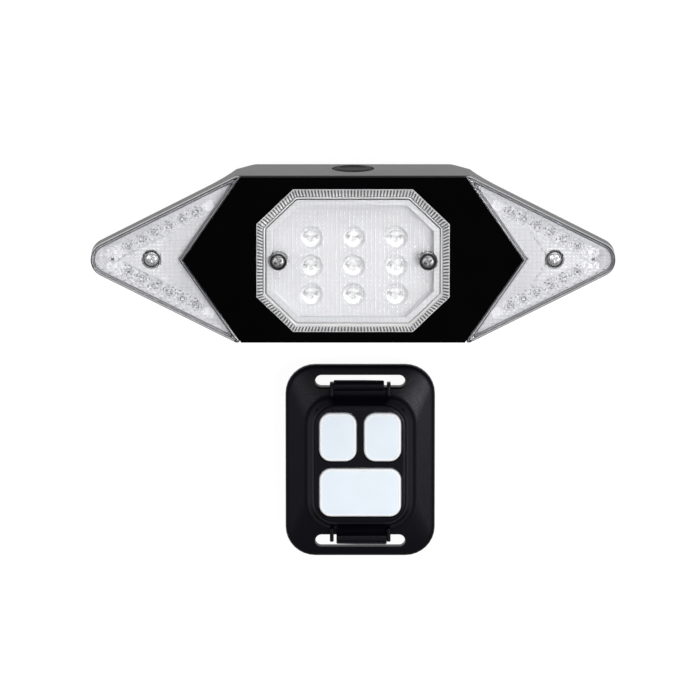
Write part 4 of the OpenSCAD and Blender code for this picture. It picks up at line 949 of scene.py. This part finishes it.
hook_y, hook_z = slot_y - SLOT_W / 2 + HOOK_R / 2, plate_top + HOOK_R / 2
bar_l = HOOK_L - HOOK_GAP
bar_profile = ((0, 0), (HOOK_R * BAR_START, 0), (HOOK_R, BAR_CHAMFER), (HOOK_R, bar_l * BAR_STRAIGHT),
               (HOOK_R * BAR_NECK, bar_l - BAR_NECK_L), (HOOK_R * BAR_END, bar_l), (0, bar_l))
web_plan = moved(round_rect(bar_l - WEB_SHORT, HOOK_R, WEB_R, 3), -HOOK_GAP / 2, hook_y - HOOK_R / 2)
ear_plan = round_rect(EAR_T + LIFT, EAR_L * HOOK_R, EAR_R, 4)
for turn in (0, 180):
    bar = put(turned(bar_profile, HOOK_SIDES), -HOOK_L / 2, hook_y, hook_z, spin(90, "Y"))
    web = slab(web_plan, plate_top - WEB_SINK, hook_z, WEB_ROUND)
    ears = [slab(moved(ear_plan, s * (HOOK_L + EAR_T) / 2, hook_y - EAR_BACK * HOOK_R),
                 plate_top - EAR_SINK, hook_z + HOOK_R / 2, EAR_R) for s in (1, -1)]
    for part in [bar, web] + ears:
        cover = carve(cover, put(part, turn=spin(turn, "Z")), "UNION")
piece("remote_top_cover_moulded", cover, REMOTE, "remote_body", [remote_plastic],
      ["remote_top_cover"], COVER_SHARP)

# Keys: pale face, its rounded rim a whiter copy as painted highlight

KEY_RINGS = ((0.0, 0.6), (-0.06, 0.36), (-0.2, 0.17), (-0.4, 0.05), (-0.6, 0.0),
             (-0.75, 0.02), (-0.82, 0.07), (-0.95, 0.06), (-2.0, 0.02))
# bands of the rounded rim that take the painted highlight
RIM_BANDS = 8
RECESS_PLAY, RECESS_R, KEY_SHARP = 0.6, 0.2, 30

for name, (x, y, w, h, z0, z1) in keys.items():
    bands = [(KEY_FLANGE, z0), (KEY_FLANGE, z0 + FLANGE_T), (0.0, z0 + FLANGE_T)]
    bands += [(g, z1 - drop) for g, drop in KEY_RINGS]
    rings = [level(round_rect(w + 2 * g, h + 2 * g, KEY_R + g), z) for g, z in bands]
    key = loft(rings, [1] * RIM_BANDS + [0] * (len(rings) - 1 - RIM_BANDS))
    lo, hi = box_mm(f"{name}_switch", REMOTE)
    recess = hi.x - lo.x + RECESS_PLAY
    ceiling = box_mm(f"{name}_plunger", REMOTE)[1].z
    key = carve(key, slab(round_rect(recess, recess, RECESS_R), z0 - OVERCUT, ceiling))
    piece(f"{name}_key_moulded", put(key, x, y), REMOTE, f"{name}_key_body", [key_face, key_rim_painted_highlight],
          [f"{name}_key"], KEY_SHARP)

# Grip pads with ribs across the groove

PAD_ROUND, PAD_STEPS, PAD_LIP, PAD_FILL = 0.5, 4, 3.2, 1.0
PAD_ENDS = ((0.0, 0.5), (0.15, 0.2), (0.5, 0.0))
GRIP_RUN, GRIP_CUT, GRIP_MARGIN, GROOVE_STEPS = 2.5, 0.55, 2.4, 28
GRIP_STEPS = ((0.3, 0.0), (0.6, GRIP_CUT), (1.5, GRIP_CUT), (1.8, 0.0))
SEAT_POST_R, HANDLEBAR_R = 13.6, 11.1


def grip_pad(l, w, h, r, lip):
    """Rubber pad along X, its groove cut by cross ribs; it seats against a flat face above."""
    half = math.asin((w / 2 - lip) / r)
    sink = r * math.cos(half)
    swing = [half * (1 - 2 * i / GROOVE_STEPS) for i in range(GROOVE_STEPS + 1)]
    count = int((l - GRIP_MARGIN) / GRIP_RUN)
    start = -count * GRIP_RUN / 2
    stations = [(run - l / 2, draw, 0.0) for run, draw in PAD_ENDS]
    for i in range(count):
        stations += [(start + i * GRIP_RUN + run, 0.0, cut) for run, cut in GRIP_STEPS]
    stations += [(l / 2 - run, draw, 0.0) for run, draw in reversed(PAD_ENDS)]
    rings = []
    for x, draw, cut in stations:
        low, side = max(draw, cut), w / 2 - draw
        section = [(-side, h), (side, h)]
        section += arc(side - PAD_ROUND, low + PAD_ROUND, PAD_ROUND, 0, -90, PAD_STEPS)
        section += [((r + cut) * math.sin(a), max(low, (r + cut) * math.cos(a) - sink)) for a in swing]
        section += arc(PAD_ROUND - side, low + PAD_ROUND, PAD_ROUND, -90, -180, PAD_STEPS)
        rings.append([Vector((x, y, z)) for y, z in section])
    return loft(rings)


for node, origin, body, r, turn in (("saddle_pad", LAMP, "lamp_body", SEAT_POST_R, 90),
                                    ("handlebar_pad", REMOTE, "remote_body", HANDLEBAR_R, 0)):
    lo, hi = box_mm(node, origin)
    size = (hi - lo).yxz if turn else hi - lo
    pad = put(grip_pad(size.x, size.y, size.z, r, PAD_LIP), 0, 0, lo.z, spin(turn, "Z"))
    piece(f"{node}_ribbed", pad, origin, body, [pad_rubber], [node])

# Foam under the battery, its sides drawn in between its faces

FOAM_DRAW, FOAM_BULGE, FOAM_STEPS, FOAM_R, FOAM_SHARP, FOAM_FILL = 0.25, 0.45, 8, 1.2, 50, 0.9

lo, hi = box_mm("battery_pad", LAMP)
size, centre = hi - lo, (lo + hi) / 2
rings = []
for i in range(FOAM_STEPS + 1):
    t = i / FOAM_STEPS
    draw = FOAM_DRAW + FOAM_BULGE * (2 * t - 1) ** 2
    rings.append(level(round_rect(size.x - 2 * draw, size.y - 2 * draw, FOAM_R), lo.z + t * size.z))
foam_pad = put(loft(rings), centre.x, centre.y)
piece("battery_pad_foam", foam_pad, LAMP, "lamp_body", [foam], ["battery_pad"],
                FOAM_SHARP)

# Power button, dished in the middle

BUTTON_R, BUTTON_SIDES, POST_R, POST_L, RIM_T = 5.8, 64, 2.0, 2.4, 0.8
BUTTON_TOP = ((5.8, 0.76), (5.66, 0.48), (5.35, 0.28), (4.95, 0.16), (4.6, 0.05),
              (4.3, 0.02), (4.0, 0.1), (3.6, 0.32), (2.0, 0.4), (0.0, 0.42))

lo, hi = box_mm("power_button", LAMP)
rim_r, rim_y0, rim_y1 = (hi.x - lo.x) / 2, lo.y + POST_L, lo.y + POST_L + RIM_T
profile = [(0, lo.y), (POST_R, lo.y), (POST_R, rim_y0), (rim_r, rim_y0), (rim_r, rim_y1), (BUTTON_R, rim_y1)]
profile += dropped(BUTTON_TOP, hi.y)
button = put(turned(profile, BUTTON_SIDES), 0, 0, (lo.z + hi.z) / 2, spin(-90, "X"))
piece("power_button_dished", button, LAMP, "power_button_body", [button_rubber],
      ["power_button"])

# Charging plug: a dished flap with finger ridges, a block for the socket and a barbed tether

FLAP_T, FLAP_RIM, FLAP_DISH, FLAP_ROUND, FLAP_FOOT = 1.2, 1.3, 0.22, 0.45, 0.15
RIDGES, RIDGE_X, RIDGE_PITCH, RIDGE_SINK = 3, 2.6, 1.1, 0.5
RIDGE_W, RIDGE_L, RIDGE_R, RIDGE_ROUND = 0.6, 2.2, 0.28, 0.2
PORT_W, PORT_H, PORT_DEEP, PORT_ROUND, PLUG_ROOT = 8.6, 2.8, 2.2, 0.3, 0.3
STEM_X, STEM_R, STEM_SIDES = 8.5, 0.9, 24
BARB_R, BARB_L, BARB_TIP, BARB_SLOPE = 1.4, 1.2, 0.6, 0.5

lo, hi = box_mm("port_plug", LAMP)
flap_plan = moved(pill(hi.x - lo.x, hi.z - lo.z), (lo.x + hi.x) / 2, 0)
flap = slab(flap_plan, 0, FLAP_T, FLAP_ROUND, FLAP_FOOT)
flap = carve(flap, slab(inset(flap_plan, FLAP_RIM), FLAP_T - FLAP_DISH, FLAP_T + OVERCUT))
for i in range(RIDGES):
    ridge = moved(round_rect(RIDGE_W, RIDGE_L, RIDGE_R, 4), lo.x + RIDGE_X + i * RIDGE_PITCH, 0)
    flap = carve(flap, slab(ridge, FLAP_T - RIDGE_SINK, FLAP_T, RIDGE_ROUND), "UNION")
block = slab(pill(PORT_W, PORT_H), -PORT_DEEP, PLUG_ROOT, 0.0, PORT_ROUND)
end, neck = FLAP_T - (hi.y - lo.y), FLAP_T - (hi.y - lo.y) + BARB_L
stem = turned([(0, end), (BARB_R * BARB_TIP, end), (BARB_R, end + BARB_SLOPE), (BARB_R, neck), (STEM_R, neck),
               (STEM_R, PLUG_ROOT), (0, PLUG_ROOT)], STEM_SIDES)
flap = carve(carve(flap, block, "UNION"), put(stem, STEM_X), "UNION")
put(flap, 0, lo.y + FLAP_T, (lo.z + hi.z) / 2, spin(90, "X"))
piece("port_plug_flap", flap, LAMP, "port_plug_body", [button_rubber], ["port_plug"])

# Camera: a long lens that looks a little from the lamp's top edge

TILT = math.radians(11)
PHOTO_MM = 200.0
DISTANCE = 2.5
AIM_X, AIM_DOWN = -0.86, 25.64

away = Vector((0, math.sin(TILT), math.cos(TILT)))
up = Vector((0, math.cos(TILT), -math.sin(TILT)))
face = Vector((LAMP.x, LAMP.y, FACE_Z)) * MM
aim = face + Vector((AIM_X, 0, 0)) * MM - up * AIM_DOWN * MM
camera_data = bpy.data.cameras.new("camera")
camera_data.lens = camera_data.sensor_width * DISTANCE / (PHOTO_MM * MM)
camera = bpy.data.objects.new("camera", camera_data)
camera.matrix_world = Matrix.Translation(aim + away * DISTANCE) @ Matrix(
    ((1, up.x, away.x), (0, up.y, away.y), (0, up.z, away.z))).to_4x4()
bpy.context.scene.collection.objects.link(camera)
bpy.context.scene.camera = camera

# Square soft lights: place, size and power

LIGHTS = {
    "key": ((0.2, 0.95, 0.75), 0.7, 3.6),
    "sheen": ((0.42, -0.02, 1.05), 0.32, 5.0),
    "fill": ((-0.38, 0.05, 1.05), 0.3, 1.3),
    "right": ((0.66, -0.2, 0.85), 0.3, 0.5),
    "left": ((-0.66, -0.2, 0.85), 0.3, 0.3),
}

for name, (place, size, power) in LIGHTS.items():
    data = bpy.data.lights.new(name, "AREA")
    data.size, data.energy = size, power
    light = bpy.data.objects.new(name, data)
    light.location = place
    light.rotation_euler = (-Vector(place)).to_track_quat("-Z", "Y").to_euler()
    bpy.context.scene.collection.objects.link(light)

# World and floor, white to the camera and pale to the object

WORLD_LIGHT, WORLD_WHITE = 0.36, 1.0
FLOOR_HALF, FLOOR_PALE, FLOOR_CARD, FLOOR_GLOW = 4.0, 0.8, 0.12, 0.945


def seen(tree):
    """Value of 1 where the camera, a reflection or a lens looks."""
    path = tree.nodes.new("ShaderNodeLightPath")
    value = path.outputs["Is Camera Ray"]
    for ray in ("Is Glossy Ray", "Is Transmission Ray"):
        both = tree.nodes.new("ShaderNodeMath")
        both.operation = "MAXIMUM"
        tree.links.new(value, both.inputs[0])
        tree.links.new(path.outputs[ray], both.inputs[1])
        value = both.outputs["Value"]
    return value


world = bpy.data.worlds.new("studio")
world.use_nodes = True
tree = world.node_tree
plain, white = tree.nodes["Background"], tree.nodes.new("ShaderNodeBackground")
fill(plain, Color=(1, 1, 1, 1), Strength=WORLD_LIGHT)
fill(white, Color=(1, 1, 1, 1), Strength=WORLD_WHITE)
camera_ray = tree.nodes.new("ShaderNodeLightPath").outputs["Is Camera Ray"]
mixed(tree, camera_ray, plain.outputs["Background"], white.outputs["Background"], "World Output")
bpy.context.scene.world = world

floor_material, tree, shader = shader_of("floor")
tree.nodes.remove(shader)
bounce, card = tree.nodes.new("ShaderNodeBsdfDiffuse"), tree.nodes.new("ShaderNodeBsdfDiffuse")
glow, both = tree.nodes.new("ShaderNodeEmission"), tree.nodes.new("ShaderNodeAddShader")
fill(bounce, Color=(FLOOR_PALE, FLOOR_PALE, FLOOR_PALE, 1))
fill(card, Color=(FLOOR_CARD, FLOOR_CARD, FLOOR_CARD, 1))
fill(glow, Strength=FLOOR_GLOW)
tree.links.new(card.outputs["BSDF"], both.inputs[0])
tree.links.new(glow.outputs["Emission"], both.inputs[1])
mixed(tree, seen(tree), bounce.outputs["BSDF"], both.outputs["Shader"], "Material Output")
floor_mesh = bpy.data.meshes.new("floor")
corners = [(x * FLOOR_HALF, y * FLOOR_HALF, 0) for x, y in ((-1, -1), (1, -1), (1, 1), (-1, 1))]
floor_mesh.from_pydata(corners, [], [(0, 1, 2, 3)])
floor_mesh.materials.append(floor_material)
floor = bpy.data.objects.new("floor", floor_mesh)
bpy.context.scene.collection.objects.link(floor)
bpy.context.scene.view_settings.view_transform = "Standard"
